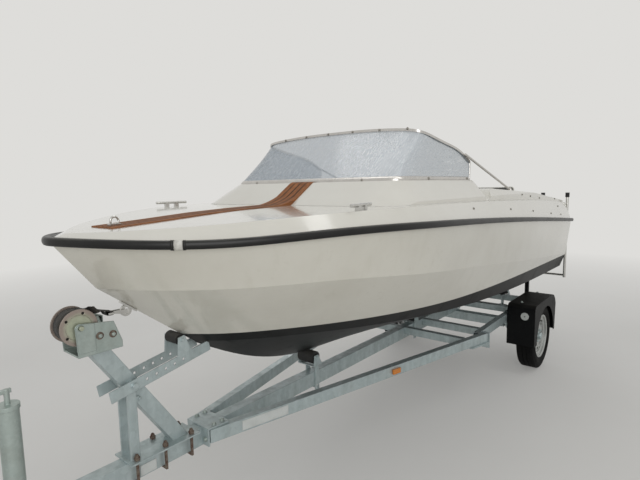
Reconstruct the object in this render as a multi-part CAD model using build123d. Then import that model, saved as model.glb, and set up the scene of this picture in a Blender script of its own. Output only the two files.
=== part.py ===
"""Open speedboat of moulded glass fibre, standing on its single-axle road trailer.

Lengths are millimetres. X runs forward to the bow, Y to port and Z up, with the floor at Z = 0.
Places along the boat are written as a distance aft of the bow tip, called s here, as on a
boatbuilder's drawing, and at() turns such a place into X, Y and Z.
"""
import os
from collections import namedtuple
from math import acos, atan2, cos, degrees, hypot, pi, sin, sqrt

from build123d import *

os.makedirs("parts", exist_ok=True)

# Fits between pieces
TOUCH = 0.3
RUNNING = 0.05

# Boat mouldings
BOW_X = 1804
HULL_LENGTH = 4150
SKIN = 8
DECK_SKIN = 7
TRANSOM_THICK = 36
DECK_AFT_SKIN = 12
FLANK_INSET = 57
POINT_SHIFT = 20
STATIONS = (0.0, 0.08, 0.17, 0.27, 0.39, 0.52, 0.68, 0.84, 1.0)
STATION_CROWDING = 1.4

Line = namedtuple("Line", "start half_breadth taper fineness bluntness narrowing heights")
# heights are rows of (distance aft of the bow tip, height above the floor)
RAIL = Line(0, 792, 1262, 1.91, 0.706, 5e-6, (
    (0, 1380), (300, 1364), (700, 1380), (1200, 1377), (1800, 1350), (2600, 1306), (3400, 1253),
    (HULL_LENGTH, 1200)))
DECK_EDGE_HEIGHTS = (
    (0, 1402), (300, 1420), (700, 1444), (1200, 1453), (1800, 1447), (2600, 1430), (3400, 1400),
    (HULL_LENGTH, 1356))
KNUCKLE = Line(145, 745, 1250, 1.9, 0.70, 4e-6, (
    (145, 1195), (450, 1187), (760, 1186), (1385, 1140), (2230, 1057), (3200, 966), (HULL_LENGTH, 884)))
CHINE = Line(545, 672, 2100, 2.2, 0.75, 0.0, (
    (545, 890), (900, 880), (1300, 862), (1800, 842), (2400, 818), (3300, 782), (HULL_LENGTH, 764)))
KEEL_START = 560
KEEL_HEIGHTS = (
    (KEEL_START, 877), (764, 767), (937, 699), (1116, 652), (1400, 626), (1900, 608), (3000, 583),
    (HULL_LENGTH, 560))
RUB_RAIL_TALL = 30
RUB_RAIL_PROUD = 22
RUB_RAIL_CHAMFER = 3

# Coaming, cockpit and motor well
COAMING_FOOT = 1451
HUMP_START = 1100
HUMP_SLOPE = 1.54
HUMP_TOP = 1566
HUMP_END = 2130
COAMING_HALF = 690
COAMING_SLOPE = 0.82
COAMING_WALL = 676
COAMING_CORNER = 190
COAMING_FALL = ((2700, 1495), (3240, 1464), (HULL_LENGTH, 1376))
AFT_DECK_LONG = 290
AFT_JOINT = 350
COCKPIT = namedtuple("Cockpit", "start mouth end half corner")(
    1330, 1640, HULL_LENGTH - AFT_DECK_LONG, 565, 70)
SOLE_TOP = 806
SOLE_THICK = 12
WELL = namedtuple("Well", "start half floor wall corner")(HULL_LENGTH - 250, 310, 950, 6, 40)
NOTCH = namedtuple("Notch", "half floor")(250, 980)
MOTOR_PAD = namedtuple("MotorPad", "half bottom top thick")(160, 760, 975, 14)
PLANK_WIDTH = 36
PLANK_GAP = 4
PLANK_THICK = 4
PLANK_START = 180
PLANK_END_GAP = 5
PLANK_FOOT_BEND = 70
BOW_RING = 230

# Windscreen: port half of its foot and of its top edge, in plan and height
PANE_FOOT = ((1300, 0), (1302, 250), (1308, 450), (1340, 555), (1440, 579), (1620, 581), (HUMP_END, 583))
PANE_TOP = ((1572, 0, 1840), (1574, 220, 1838), (1577, 400, 1829), (1590, 540, 1808), (1680, 563, 1786),
            (1800, 569, 1764), (1930, 574, 1742), (2050, 577, 1708), (2140, 580, 1668))
PANE_THICK = 5
SILL_TALL = 9
TOP_RAIL_TALL = 13
FRAME_LAP = 6
STAY_RADIUS = 7
STAY_PAD = 14
STAY_FOOT = (2750, 632)
STAY_HEAD = (2050, 591, 1715)

# Cockpit fittings
DASH_THICK = 16
DASH_BOTTOM = 1330
HELM = namedtuple("Helm", "y z rise reach shaft radius grip")(-300, 1375, 15, 165, 11, 165, 12)
SEAT = namedtuple("Seat", "front rear inner outer base cushion back_top")(
    2450, HULL_LENGTH - 400, 170, 540, 1090, 95, 1515)
SEAT_MIDDLE = 3100
SEAT_GAP = 1.5
BACK_FOOT = 150
BACK_THICK = 52
CUSHION_ROUND = 14

# Boarding ladder
LADDER = namedtuple("Ladder", "inner outer bottom top radius wall stand")(495, 705, 650, 1405, 12.5, 1.5, 36)
RUNGS = (672, 905, 1138)

# Trailer frame
Tube = namedtuple("Tube", "width tall wall")
FRAME_TOP = 500
CENTRE_BEAM = Tube(60, 80, 4)
SIDE_BEAM = Tube(40, 60, 3)
CROSS_TUBE = Tube(40, 50, 3)
AXLE_TUBE = Tube(70, 70, 5)
BEAM_START = -400
COUPLING = namedtuple("Coupling", "s z ball half low high")(-552, 458, 25.5, 37, 432, 500)
REAR_CROSS = (3400, 60)
SIDE_BEAM_OUTER = ((582, 88), (2570, 566))
RAIL_BEAM = namedtuple("RailBeam", "start end centre")(2535, 3850, 495)
CROSS_PLACES = (2370, 2650, 3800)
CLAMP_PLATE = 8
CLAMP_FRONT = 543
CLAMP_HALF = 76
CLAMP_REAR = 2578

# Axle and wheels
AXLE = namedtuple("Axle", "s top half arm")(3310, 420, 448, 40)
WHEEL = namedtuple("Wheel", "s y radius width bead seat offset")(3465, 637, 268, 145, 166, 165.5, 30)
STUB_RADIUS = 15
HUB_RADIUS = 34
STUD_CIRCLE = 50
STUDS = 4
MUDGUARD = namedtuple("Mudguard", "inner outer skin top arch")(520, 730, 3, 590, 257)

# Supports under the hull
ROLLER = namedtuple("Roller", "radius half pin")(35, 52, 8)
KEEL_ROLLERS = (1300, 2470)
SIDE_ROLLER = namedtuple("SideRoller", "s y radius half")(3400, 380, 48, 34)
POST = namedtuple("Post", "s size pad_long pad_half")(HULL_LENGTH - 400, 30, 110, 35)

# Winch and its post
WINCH_POST = Tube(60, 60, 3)
POST_FOOT, POST_HEAD = (436, 507), (126, 975)
POST_PLATE = 7
DRUM = namedtuple("Drum", "s z flange core near far shaft")(56, 1079, 64, 24, 50, -28, 8)
FLANGE_THICK = 3
FLANGE_HOLES = namedtuple("FlangeHoles", "count circle radius")(5, 50, 5)
COIL_RADIUS = 46
CHEEK = namedtuple("Cheek", "y thick")(58, 4)
CRANK = namedtuple("Crank", "s z arm grip")(155, 1050, 120, 100)
STEM_EYE = (262, 20)
EYE_HOLE = 13
HOOK_PIN = 6
U_BOLT = namedtuple("UBolt", "places inner thick play")((231, 354, 477), 43, 9, 2)
STRAP_THICK = 2.5
STRAP_HALF = 20
ARM_PLATE = namedtuple("ArmPlate", "inner thick tall")(45.5, 5, 45)
ARM_ENDS = ((145, 790), (590, 868))
BOW_ROLLER = namedtuple("BowRoller", "s radius half")(470, 24, 40)

# Jockey wheel
JOCKEY = namedtuple("Jockey", "s y outer wall top bottom")(-180, 76, 30, 3, 890, 360)
JOCKEY_WHEEL = namedtuple("JockeyWheel", "radius width trail")(100, 60, 55)


def at(s, y, z):
    """Turn a distance aft of the bow tip, a half-breadth and a height into a point."""
    return Vector(BOW_X - s, y, z)


def height(rows, s):
    """Height at s on the smooth curve through the rows."""
    if s <= rows[0][0]:
        return rows[0][1]
    if s >= rows[-1][0]:
        return rows[-1][1]
    slopes = [(b[1] - a[1]) / (b[0] - a[0]) for a, b in zip(rows, rows[1:])]
    knots = [slopes[0]] + [(a + b) / 2 for a, b in zip(slopes, slopes[1:])] + [slopes[-1]]
    for row, after, rise, next_rise in zip(rows, rows[1:], knots, knots[1:]):
        if s <= after[0]:
            run = after[0] - row[0]
            t = (s - row[0]) / run
            return ((1 + 2 * t) * (1 - t) ** 2 * row[1] + t * (1 - t) ** 2 * run * rise
                    + t * t * (3 - 2 * t) * after[1] - t * t * (1 - t) * run * next_rise)


def half_breadth(line, s):
    """Half-breadth of a hull line at s: full at the bow, then slowly narrowing to the stern."""
    t = min(max(s - line.start, 0) / line.taper, 1)
    waist = max(s - line.start - line.taper, 0)
    return line.half_breadth * (1 - (1 - t) ** line.fineness) ** line.bluntness - line.narrowing * waist ** 2


def run_of(line, out=0.0, up=0.0, end=HULL_LENGTH, heights=None):
    """Points of a hull line on the port side, moved outwards by out in plan and upwards by up."""
    points = []
    length = end - line.start
    for share in STATIONS:
        place = [line.start + length * u ** STATION_CROWDING for u in (share, share + 0.001)]
        breadth = [half_breadth(line, s) for s in place]
        ahead, aside = place[1] - place[0], breadth[1] - breadth[0]
        size = hypot(ahead, aside)
        s = place[0] - out * aside / size
        y = breadth[0] + out * ahead / size if share else 0.0
        points.append((s, y, height(heights or line.heights, place[0]) + up))
    points[-1] = (end, points[-1][1], points[-1][2])
    return points


def keel_run(inset=0.0, end=HULL_LENGTH):
    """Points down the forefoot and along the keel, moved into the hull by inset."""
    points = []
    for share in STATIONS:
        s = KEEL_START + (end - KEEL_START) * share ** STATION_CROWDING
        fall = height(KEEL_HEIGHTS, s + 1) - height(KEEL_HEIGHTS, s)
        size = hypot(1, fall)
        points.append((s - inset * fall / size, 0.0, height(KEEL_HEIGHTS, s) + inset / size))
    points[-1] = (end, 0.0, points[-1][2])
    return points


def keel_height(s):
    """Height of the keel at s."""
    return height([(p[0], p[2]) for p in keel_run()], s)


def middle_of(run):
    """Centreline points level with a run, starting a little aft of it so that no strip has a zero edge."""
    return [(s + (0 if index else POINT_SHIFT), 0.0, z) for index, (s, y, z) in enumerate(run)]


def curve(points):
    """Smooth edge through points given as distance aft, half-breadth and height."""
    return Edge.make_spline([at(*p) for p in points])


def skin(strips, caps):
    """One closed solid from ruled port strips, their mirror images and flat end caps."""
    faces = []
    for first, second in strips:
        face = Face.make_surface_from_curves(first, second)
        faces += [face, face.mirror(Plane.XZ)]
    solid = Solid(Shell(faces + caps))
    return solid if solid.volume > 0 else -solid


def cap(points):
    """Flat face across the boat through port points and their mirror images."""
    port = [at(*p) for p in points]
    stbd = [at(p[0], -p[1], p[2]) for p in reversed(points) if abs(p[1]) > 1e-6]
    return Face(Wire.make_polygon(port + stbd, close=True))


def block(runs):
    """Solid lump bounded by runs that go round one side of it, from centreline to centreline."""
    curves = [curve(run) for run in runs]
    return skin(list(zip(curves, curves[1:])), [cap([run[-1] for run in runs])])


def band(runs, edges=None):
    """Strip of four-sided section that goes round the bow or the front, open at its two ends."""
    curves = edges or [curve(run) for run in runs]
    end = Face(Wire.make_polygon([at(*run[-1]) for run in runs], close=True))
    return skin(list(zip(curves, curves[1:] + curves[:1])), [end, end.mirror(Plane.XZ)])


def outline(place, start, *moves):
    """Closed face from start through moves: a point is a straight run, a pair an arc through its first."""
    edges, last = [], start
    for move in (*moves, start):
        if isinstance(move[0], tuple):
            through, end = move
            edges.append(Edge.make_three_point_arc(place(*last), place(*through), place(*end)))
        else:
            end = move
            if end != last:
                edges.append(Edge.make_line(place(*last), place(*end)))
        last = end
    return Face(Wire(edges))


def side(moves, y0, y1):
    """Side-view outline of (s, z) places, drawn out across the boat from y0 to y1."""
    return Solid.extrude(outline(lambda s, z: at(s, y0, z), *moves), Vector(0, y1 - y0, 0))


def across(moves, s0, s1):
    """End-view outline of (y, z) places, drawn out along the boat from s0 to s1."""
    return Solid.extrude(outline(lambda y, z: at(s0, y, z), *moves), Vector(s0 - s1, 0, 0))


def plan(moves, z0, z1):
    """Plan outline of (s, y) places, drawn out upwards from z0 to z1."""
    return Solid.extrude(outline(lambda s, y: at(s, y, z0), *moves), Vector(0, 0, z1 - z0))


def turned(moves, s, z):
    """Solid turned about an axis across the boat at (s, z), from an outline of (y, radius) places."""
    face = outline(lambda y, radius: at(s, y, z + radius), *moves)
    return Solid.revolve(face, 360, Axis(at(s, 0, z), (0, 1, 0)))


def box(s, y, z):
    """Block between two limits each way."""
    return Solid.make_box(s[1] - s[0], y[1] - y[0], z[1] - z[0]).moved(Location((BOW_X - s[1], y[0], z[0])))


def rounded_box(s, y, z, radius):
    """Block with rounded upright edges."""
    solid = box(s, y, z)
    return solid.fillet(radius, solid.edges().filter_by(Axis.Z))


def rod(a, b, radius):
    """Round bar from place a to place b."""
    start, end = at(*a), at(*b)
    return Solid.make_cylinder(radius, (end - start).length, Plane(origin=start, z_dir=end - start))


def pipe(a, b, radius, wall):
    """Round tube, open at both ends."""
    return rod(a, b, radius) - rod(a, b, radius - wall)


def beam(a, b, size, top=FRAME_TOP):
    """Level box tube, open at both ends, between two places in plan, its top face at height top."""
    start, end = at(*a, top - size.tall / 2), at(*b, top - size.tall / 2)
    bore = Rectangle(size.tall - 2 * size.wall, size.width - 2 * size.wall)
    face = Rectangle(size.tall, size.width) - bore
    return extrude(Plane(origin=start, x_dir=(0, 0, 1), z_dir=end - start) * face, (end - start).length)


def group(*shapes):
    """All the solids of the shapes as one compound."""
    return Compound([solid for shape in shapes for solid in shape.solids()])


def both(shape):
    """A shape and its mirror image on the other side of the centreline."""
    return group(shape, shape.mirror(Plane.XZ))


def hull_lines(inset, end):
    """Rail, knuckle, chine and keel runs of the outer (inset 0) or inner moulded surface."""
    rail = run_of(RAIL, -inset, 0, end)
    knuckle = run_of(KNUCKLE, -inset, 0, end)
    chine = run_of(CHINE, -inset, inset * 0.6, end)
    for line in (knuckle, chine):
        line[0] = (line[0][0] + inset * 0.6, 0.0, line[0][2])
    return rail, knuckle, chine, keel_run(inset, end)


def hull_block(inset, end=HULL_LENGTH):
    """The hull filled up to its rail, its surface moved inwards by inset."""
    rail, knuckle, chine, keel = hull_lines(inset, end)
    return block([middle_of(rail), rail, knuckle, chine, keel])


def hull_bottom(s, y):
    """Height of the hull's bottom at a place in plan."""
    share = abs(y) / half_breadth(CHINE, s)
    return height(KEEL_HEIGHTS, s) * (1 - share) + height(CHINE.heights, s) * share


def hull_tilt(s):
    """Slope of the hull's bottom across the boat, in degrees."""
    return degrees(atan2(height(CHINE.heights, s) - height(KEEL_HEIGHTS, s), half_breadth(CHINE, s)))


def stem(s, out=0.0):
    """Place on the straight part of the stem at s, moved forward and down by out along its normal."""
    run, fall = CHINE.start - KNUCKLE.start, KNUCKLE.heights[0][1] - CHINE.heights[0][1]
    size = hypot(run, fall)
    z = KNUCKLE.heights[0][1] - (s - KNUCKLE.start) * fall / run
    return s - out * fall / size, z - out * run / size


def deck_lines(inset=0.0, end=HULL_LENGTH, up=TOUCH):
    """Rail, edge and centreline runs of the deck's outer or inner moulded surface."""
    rail = run_of(RAIL, -inset, up, end)
    edge = run_of(RAIL, -FLANK_INSET - inset * 0.6, up - inset, end, DECK_EDGE_HEIGHTS)
    return rail, edge, middle_of(edge)


def deck_block(up):
    """The deck filled down to its rail and moved upwards by up."""
    rail, edge, middle = deck_lines(up=up)
    return block([middle_of(rail), rail, edge, middle])


def deck_height(s):
    """Height of the deck on the centreline."""
    return height([(p[0], p[2]) for p in deck_lines()[2]], s)


def well_cut():
    """The space over the motor well, and the notch through the transom behind it."""
    tray = rounded_box((WELL.start, HULL_LENGTH + 100), (-WELL.half, WELL.half), (1250, 1500), WELL.corner)
    notch = box((HULL_LENGTH - 100, HULL_LENGTH + 50), (-NOTCH.half, NOTCH.half), (NOTCH.floor, 1500))
    return tray, notch


def make_hull_shell():
    outer = hull_lines(0, HULL_LENGTH)
    inner = hull_lines(SKIN, HULL_LENGTH - TRANSOM_THICK)
    edges = [[curve(line) for line in lines] for lines in (outer, inner)]
    strips = []
    for rail, knuckle, chine, keel in edges:
        strips += [(rail, knuckle), (knuckle, chine), (chine, keel)]
    strips.append((edges[0][0], edges[1][0]))
    caps = [cap([line[-1] for line in lines]) for lines in (outer, inner)]
    caps.append(cap([outer[0][-1], inner[0][-1]]))
    return skin(strips, caps) - well_cut()[1]


def fore_and_aft(solid):
    """The solid before and behind the moulded joint ahead of the motor well."""
    joint = HULL_LENGTH - AFT_JOINT
    fore = box((-100, joint), (-1000, 1000), (0, 2000))
    aft = box((joint, HULL_LENGTH + 100), (-1000, 1000), (0, 2000))
    return solid & fore, solid & aft


def cockpit_cut(front):
    """What the cockpit takes out of the deck or the coaming, from front to its aft end."""
    half = COCKPIT.half
    return rounded_box((front, COCKPIT.end), (-half, half), (1200, 1700), COCKPIT.corner)


def whole_deck():
    """The deck with its openings, before it is parted at the joint."""
    outer = deck_lines()
    inner = deck_lines(DECK_SKIN, HULL_LENGTH - DECK_AFT_SKIN)
    edges = [[curve(line) for line in lines] for lines in (outer, inner)]
    strips = []
    for rail, edge, middle in edges:
        strips += [(rail, edge), (edge, middle)]
    strips.append((edges[0][0], edges[1][0]))
    caps = [cap([line[-1] for line in lines]) for lines in (outer, inner)]
    caps.append(cap([outer[0][-1], inner[0][-1]]))
    deck = skin(strips, caps)
    tray, notch = well_cut()
    return deck - cockpit_cut(COCKPIT.start) - tray - notch


def coaming_lump(inset):
    """Slope-sided lump with the coaming's rounded plan, its surface moved inwards by inset."""
    rear = HULL_LENGTH + 2 * COAMING_CORNER
    sections = []
    for z in (COAMING_FOOT - 100, HUMP_TOP + 60):
        rise = z - COAMING_FOOT
        front = HUMP_START + rise * HUMP_SLOPE + inset * sqrt(1 + HUMP_SLOPE ** 2)
        half = COAMING_HALF - rise * COAMING_SLOPE - inset * sqrt(1 + COAMING_SLOPE ** 2)
        plane = Plane(origin=at((front + rear) / 2, 0, z))
        corner = COAMING_CORNER - 0.4 * rise - inset
        sections.append(plane * RectangleRounded(rear - front, 2 * half, corner))
    wall = COAMING_WALL - inset
    return loft(sections, ruled=True) & box((HUMP_START - 200, rear), (-wall, wall), (1300, HUMP_TOP + 50))


def coaming_profile():
    """Outline in side view under the coaming's top: the hump, the dip behind it, the long fall aft."""
    top = [(HUMP_START - 100, HUMP_TOP), (HUMP_END, HUMP_TOP), ((2148, 1560), (2152, 1542)), (2158, 1482),
           ((2170, 1450), (2204, 1446)), ((2236, 1458), (2262, 1478)), ((2310, 1504), (2400, 1510)), *COAMING_FALL]
    return [(HUMP_START - 100, COAMING_FOOT - 31), *top, (HULL_LENGTH, DECK_EDGE_HEIGHTS[-1][1] - 26)]


def coaming_drop():
    """How far the coaming's top falls for each millimetre aft, beside the seats."""
    (s0, z0), (s1, z1) = COAMING_FALL[:2]
    return (z0 - z1) / (s1 - s0)


def make_deck_moulding():
    return fore_and_aft(whole_deck())[0]


def make_aft_deck():
    return fore_and_aft(whole_deck())[1]


def whole_coaming():
    """The coaming with its hump, before it is parted at the joint."""
    lump = coaming_lump(0) & side(coaming_profile(), -900, 900)
    mouth = cockpit_cut(COCKPIT.mouth)
    wall = COCKPIT.half + SKIN
    hump = coaming_lump(SKIN) & box((1000, HUMP_END - SKIN), (-900, 900), (1250, HUMP_TOP - SKIN))
    hump = hump - box((COCKPIT.mouth + SKIN, HUMP_END), (-wall, wall), (1200, 1700))
    sides = coaming_lump(SKIN) & side(((2420, 1250), (2420, 1499), (2700, 1487), (3240, 1456), (3840, 1400),
                                       (3840, 1250)), -900, 900)
    sides = sides - box((2400, 3900), (-wall, wall), (1200, 1700))
    return lump - deck_block(2 * TOUCH) - mouth - hump - sides - well_cut()[0]


def make_coaming_moulding():
    return fore_and_aft(whole_coaming())[0]


def make_aft_coaming():
    return fore_and_aft(whole_coaming())[1]


def make_rub_rail():
    half = RUB_RAIL_TALL / 2
    runs = [run_of(RAIL, out, up) for out, up in (
        (TOUCH, -half), (RUB_RAIL_PROUD, RUB_RAIL_CHAMFER - half),
        (RUB_RAIL_PROUD, half - RUB_RAIL_CHAMFER), (TOUCH, half))]
    return band(runs)


def tangent_arc(before, corner, after, length):
    """Start, middle and end of the arc that rounds a corner, tangent to both sides at length from it."""
    ways = []
    for place in (before, after):
        run, rise = place[0] - corner[0], place[1] - corner[1]
        ways.append((run / hypot(run, rise), rise / hypot(run, rise)))
    start, end = ((corner[0] + way[0] * length, corner[1] + way[1] * length) for way in ways)
    half_turn = acos(-(ways[0][0] * ways[1][0] + ways[0][1] * ways[1][1])) / 2
    share = (1 - sin(half_turn)) / cos(half_turn) ** 2
    middle = (corner[0] + (start[0] + end[0] - 2 * corner[0]) / 2 * share,
              corner[1] + (start[1] + end[1] - 2 * corner[1]) / 2 * share)
    return start, (middle, end)


def make_foredeck_planks():
    half = 2 * PLANK_WIDTH + 1.5 * PLANK_GAP
    size = hypot(1, HUMP_SLOPE)
    top = HUMP_TOP + TOUCH + PLANK_THICK

    def on_hump(z):
        """Place on the planks' upper face, on the slope of the hump, at height z."""
        out = PLANK_THICK + TOUCH
        return HUMP_START + (z - COAMING_FOOT - out * HUMP_SLOPE / size) * HUMP_SLOPE - out / size, z

    end = PANE_FOOT[0][0] - FRAME_LAP - PLANK_END_GAP
    foot = on_hump(deck_height(HUMP_START) + PLANK_THICK)
    brow = on_hump(top)
    low = tangent_arc((PLANK_START, foot[1]), foot, brow, PLANK_FOOT_BEND)
    high = tangent_arc(foot, brow, (end, top), (end - brow[0]) * 0.9)
    places = [PLANK_START + (low[0][0] - PLANK_START) * step / 4 for step in range(4)]
    deck = [(s, deck_height(s) + PLANK_THICK) for s in places]
    lump = coaming_lump(-TOUCH) & box((1000, 1500), (-300, 300), (1300, HUMP_TOP + TOUCH))
    upper = [*deck, low[0], low[1], high[0], high[1], (end, top)]
    planks = side([(PLANK_START, 1398), *upper, (end, 1398)], -half, half)
    planks = planks - deck_block(2 * TOUCH) - lump
    step = PLANK_WIDTH + PLANK_GAP
    seams = [box((0, 2000), (y - PLANK_GAP / 2, y + PLANK_GAP / 2), (1300, 1700)) for y in (-step, 0, step)]
    return group(planks.cut(*seams))


def screen_run(points, inset, up):
    """Windscreen points moved inwards by inset in plan and upwards by up."""
    moved = []
    for index, (s, y, z) in enumerate(points):
        before, after = points[max(index - 1, 0)], points[min(index + 1, len(points) - 1)]
        ahead, aside = after[0] - before[0], after[1] - before[1]
        if index == 0:
            ahead, aside = 0, 1
        if index == len(points) - 1:
            ahead, aside = 1, 0
        size = hypot(ahead, aside)
        moved.append((s + inset * aside / size, y - inset * ahead / size, z + up))
    return moved


def screen_edge(run):
    """Smooth edge through windscreen points that crosses the centreline square to it."""
    last = at(*run[-1]) - at(*run[-2])
    return Edge.make_spline([at(*p) for p in run], tangents=[Vector(0, 1, 0), last.normalized()])


def make_windscreen_pane():
    foot = [(s, y, HUMP_TOP) for s, y in PANE_FOOT]
    runs = [screen_run(foot, 0, SILL_TALL + 2 * TOUCH), screen_run(foot, PANE_THICK, SILL_TALL + 2 * TOUCH),
            screen_run(PANE_TOP, PANE_THICK, 0), screen_run(PANE_TOP, 0, 0)]
    return band(runs, [screen_edge(run) for run in runs])


def make_windscreen_frame():
    foot = [(s, y, HUMP_TOP + TOUCH) for s, y in PANE_FOOT]
    pieces = []
    for points, low, high in ((foot, 0, SILL_TALL), (PANE_TOP, TOUCH, TOP_RAIL_TALL)):
        runs = [screen_run(points, inset, up) for inset, up in (
            (-FRAME_LAP, low), (PANE_THICK + FRAME_LAP, low), (PANE_THICK + FRAME_LAP, high), (-FRAME_LAP,
                                                                                               high))]
        pieces.append(band(runs, [screen_edge(run) for run in runs]))
    bar = rod((HUMP_END + 9, PANE_FOOT[-1][1] - 3, HUMP_TOP + TOUCH), (2149, 577.5, 1672), 6)
    top = COAMING_FALL[0][1] - (STAY_FOOT[0] - STAY_PAD - COAMING_FALL[0][0]) * coaming_drop() + TOUCH
    foot = rod((*STAY_FOOT, top), (*STAY_FOOT, top + 10), STAY_PAD)
    stay = foot + rod(STAY_HEAD, (*STAY_FOOT, top + 6), STAY_RADIUS)
    return group(*pieces, both(bar), both(stay))


def make_cockpit_sole():
    sheet = box((1300, HULL_LENGTH - TRANSOM_THICK - TOUCH), (-800, 800), (SOLE_TOP - SOLE_THICK, SOLE_TOP))
    return sheet & hull_block(SKIN + TOUCH)


def make_motor_well():
    front, rear = WELL.start - WELL.wall, HULL_LENGTH - TRANSOM_THICK - TOUCH
    top = height(DECK_EDGE_HEIGHTS, HULL_LENGTH) - DECK_SKIN - 2
    outer = box((front, rear), (-WELL.half - WELL.wall, WELL.half + WELL.wall), (WELL.floor - WELL.wall,
                                                                                 top))
    inner = box((WELL.start, rear + 1), (-WELL.half, WELL.half), (WELL.floor, top + 1))
    return (outer - inner) & hull_block(SKIN + TOUCH).fuse(box((front, rear), (-600, 600), (1190, 1500)))


def make_motor_pad():
    pad = box((HULL_LENGTH + TOUCH, HULL_LENGTH + TOUCH + MOTOR_PAD.thick), (-MOTOR_PAD.half,
                                                                             MOTOR_PAD.half),
              (MOTOR_PAD.bottom, MOTOR_PAD.top))
    return pad.fillet(20, pad.edges().filter_by(Axis.X))


def make_bow_ring():
    s, half = BOW_RING, 22
    foot = [(place, deck_height(place) + PLANK_THICK + TOUCH) for place in (s + half, s - half)]
    top = deck_height(s) + PLANK_THICK + 5
    base = side([*foot, (s - half, top), (s + half, top)], -14, 14)
    ring = Solid.make_torus(15, 4, Plane(origin=at(s, 0, top + 10), z_dir=(0, 1, 0)))
    return group(base + (ring - box((0, 400), (-20, 20), (1300, top - 2))))


def make_stem_eye():
    centre = stem(*STEM_EYE)
    plane = Plane(origin=at(centre[0], 0, centre[1]), z_dir=(0, 1, 0))
    ring = Solid.make_cylinder(22, 10, plane.offset(-5)) - Solid.make_cylinder(EYE_HOLE, 12,
                                                                               plane.offset(-6))
    low, high = stem(232, TOUCH), stem(292, TOUCH)
    outer = stem(292, 6), stem(232, 6)
    plate = side([low, high, *outer], -10, 10)
    keep = side([stem(200, 3), stem(330, 3), stem(330, 80), stem(200, 80)], -30, 30)
    return plate + (ring & keep)


def make_deck_cleats():
    s, y, reach = 892, 648, 88
    z = deck_height(s)
    cleat = rod((s - reach, y, z + 21), (s + reach, y, z + 21), 7)
    for foot in (-28, 28):
        cleat += box((s + foot - 11, s + foot + 11), (y - 9, y + 9), (z - 12, z + 20))
    return both(cleat.rotate(Axis(at(s, y, z), (0, 0, 1)), 9) - deck_block(2 * TOUCH))


def make_dashboard():
    low, wing = COCKPIT.half - 1, COAMING_WALL - SKIN - 2
    top = HUMP_TOP - SKIN - TOUCH
    ledge = COAMING_FOOT + 4
    tip = wing - (top - ledge) * COAMING_SLOPE
    panel = across([(-low, DASH_BOTTOM), (-low, ledge), (-wing, ledge), (-tip, top), (tip, top), (wing,
                                                                                                  ledge),
                    (low, ledge), (low, DASH_BOTTOM)], COCKPIT.mouth - 4 - DASH_THICK, COCKPIT.mouth - 4)
    start, axis = helm_axis()
    boss = Solid.make_cylinder(HELM.shaft + 14, 30, Plane(origin=start, z_dir=axis))
    bore = Solid.make_cylinder(HELM.shaft + RUNNING, 90, Plane(origin=start - axis * 50, z_dir=axis))
    return panel + boss - bore


def helm_axis():
    """Where the steering shaft leaves the dashboard, and its direction aft and up."""
    rise = HELM.rise * pi / 180
    return at(COCKPIT.mouth - 12, HELM.y, HELM.z), Vector(-cos(rise), 0, sin(rise))


def make_steering_wheel():
    start, axis = helm_axis()
    centre = Plane(origin=start + axis * HELM.reach, x_dir=(0, 1, 0), z_dir=axis)
    wheel = Solid.make_torus(HELM.radius - HELM.grip, HELM.grip, centre)
    wheel += Solid.make_cylinder(34, 34, centre.offset(-30))
    for turn in (0, 120, 240):
        spoke = Box(HELM.radius - HELM.grip, 30, 5, align=(Align.MIN, Align.CENTER, Align.CENTER))
        wheel += centre * Rot(0, 0, turn + 30) * spoke
    shaft = Solid.make_cylinder(HELM.shaft, HELM.reach + 20, Plane(origin=start - axis * 40, z_dir=axis))
    return wheel + shaft


def make_seat_bases():
    outer = box((SEAT.front, SEAT.rear), (SEAT.inner, SEAT.outer), (SOLE_TOP + TOUCH, SEAT.base))
    wall = SKIN
    inner = box((SEAT.front + wall, SEAT.rear - wall), (SEAT.inner + wall, SEAT.outer - wall),
                (SOLE_TOP, SEAT.base - wall))
    return both(outer - inner)


def cushion(start, end):
    """One seat cushion between two places along the boat."""
    solid = box((start, end), (SEAT.inner, SEAT.outer), (SEAT.base + TOUCH,
                                                         SEAT.base + TOUCH + SEAT.cushion))
    return solid.fillet(CUSHION_ROUND, solid.edges().filter_by(Axis.Z) + solid.edges().group_by(Axis.Z)[-1])


def seat_back(facing):
    """One seat back that leans from its foot to the middle of the seat; facing is -1 forward, 1 aft."""
    low = SEAT.base + TOUCH
    near, far = SEAT_MIDDLE + facing * SEAT_GAP, SEAT_MIDDLE + facing * BACK_FOOT
    solid = side([(far - facing * BACK_THICK, low), (far, low), (near + facing * BACK_THICK, SEAT.back_top),
                  (near, SEAT.back_top)], SEAT.inner, SEAT.outer)
    return solid.fillet(CUSHION_ROUND, solid.edges().group_by(Axis.Z)[-1])


def make_front_cushions():
    return both(cushion(SEAT.front, SEAT_MIDDLE - BACK_FOOT - SEAT_GAP))


def make_rear_cushions():
    return both(cushion(SEAT_MIDDLE + BACK_FOOT + SEAT_GAP, SEAT.rear))


def make_front_backs():
    return both(seat_back(-1))


def make_rear_backs():
    return both(seat_back(1))


def make_boarding_ladder():
    s = HULL_LENGTH + LADDER.stand
    tubes = [pipe((s, y, LADDER.bottom), (s, y, LADDER.top), LADDER.radius, LADDER.wall)
             for y in (LADDER.inner, LADDER.outer)]
    inside = LADDER.radius - LADDER.wall / 2
    rungs = [rod((s, LADDER.inner + inside, z), (s, LADDER.outer - inside, z),
                 LADDER.radius - 2) for z in RUNGS]
    feet = [box((HULL_LENGTH + TOUCH, s - inside), (y - 12, y + 12), (z - 15, z + 15))
            for y in (LADDER.inner, LADDER.outer) for z in (1000, 1270)]
    return tubes[0].fuse(tubes[1], *rungs, *feet)


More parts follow.
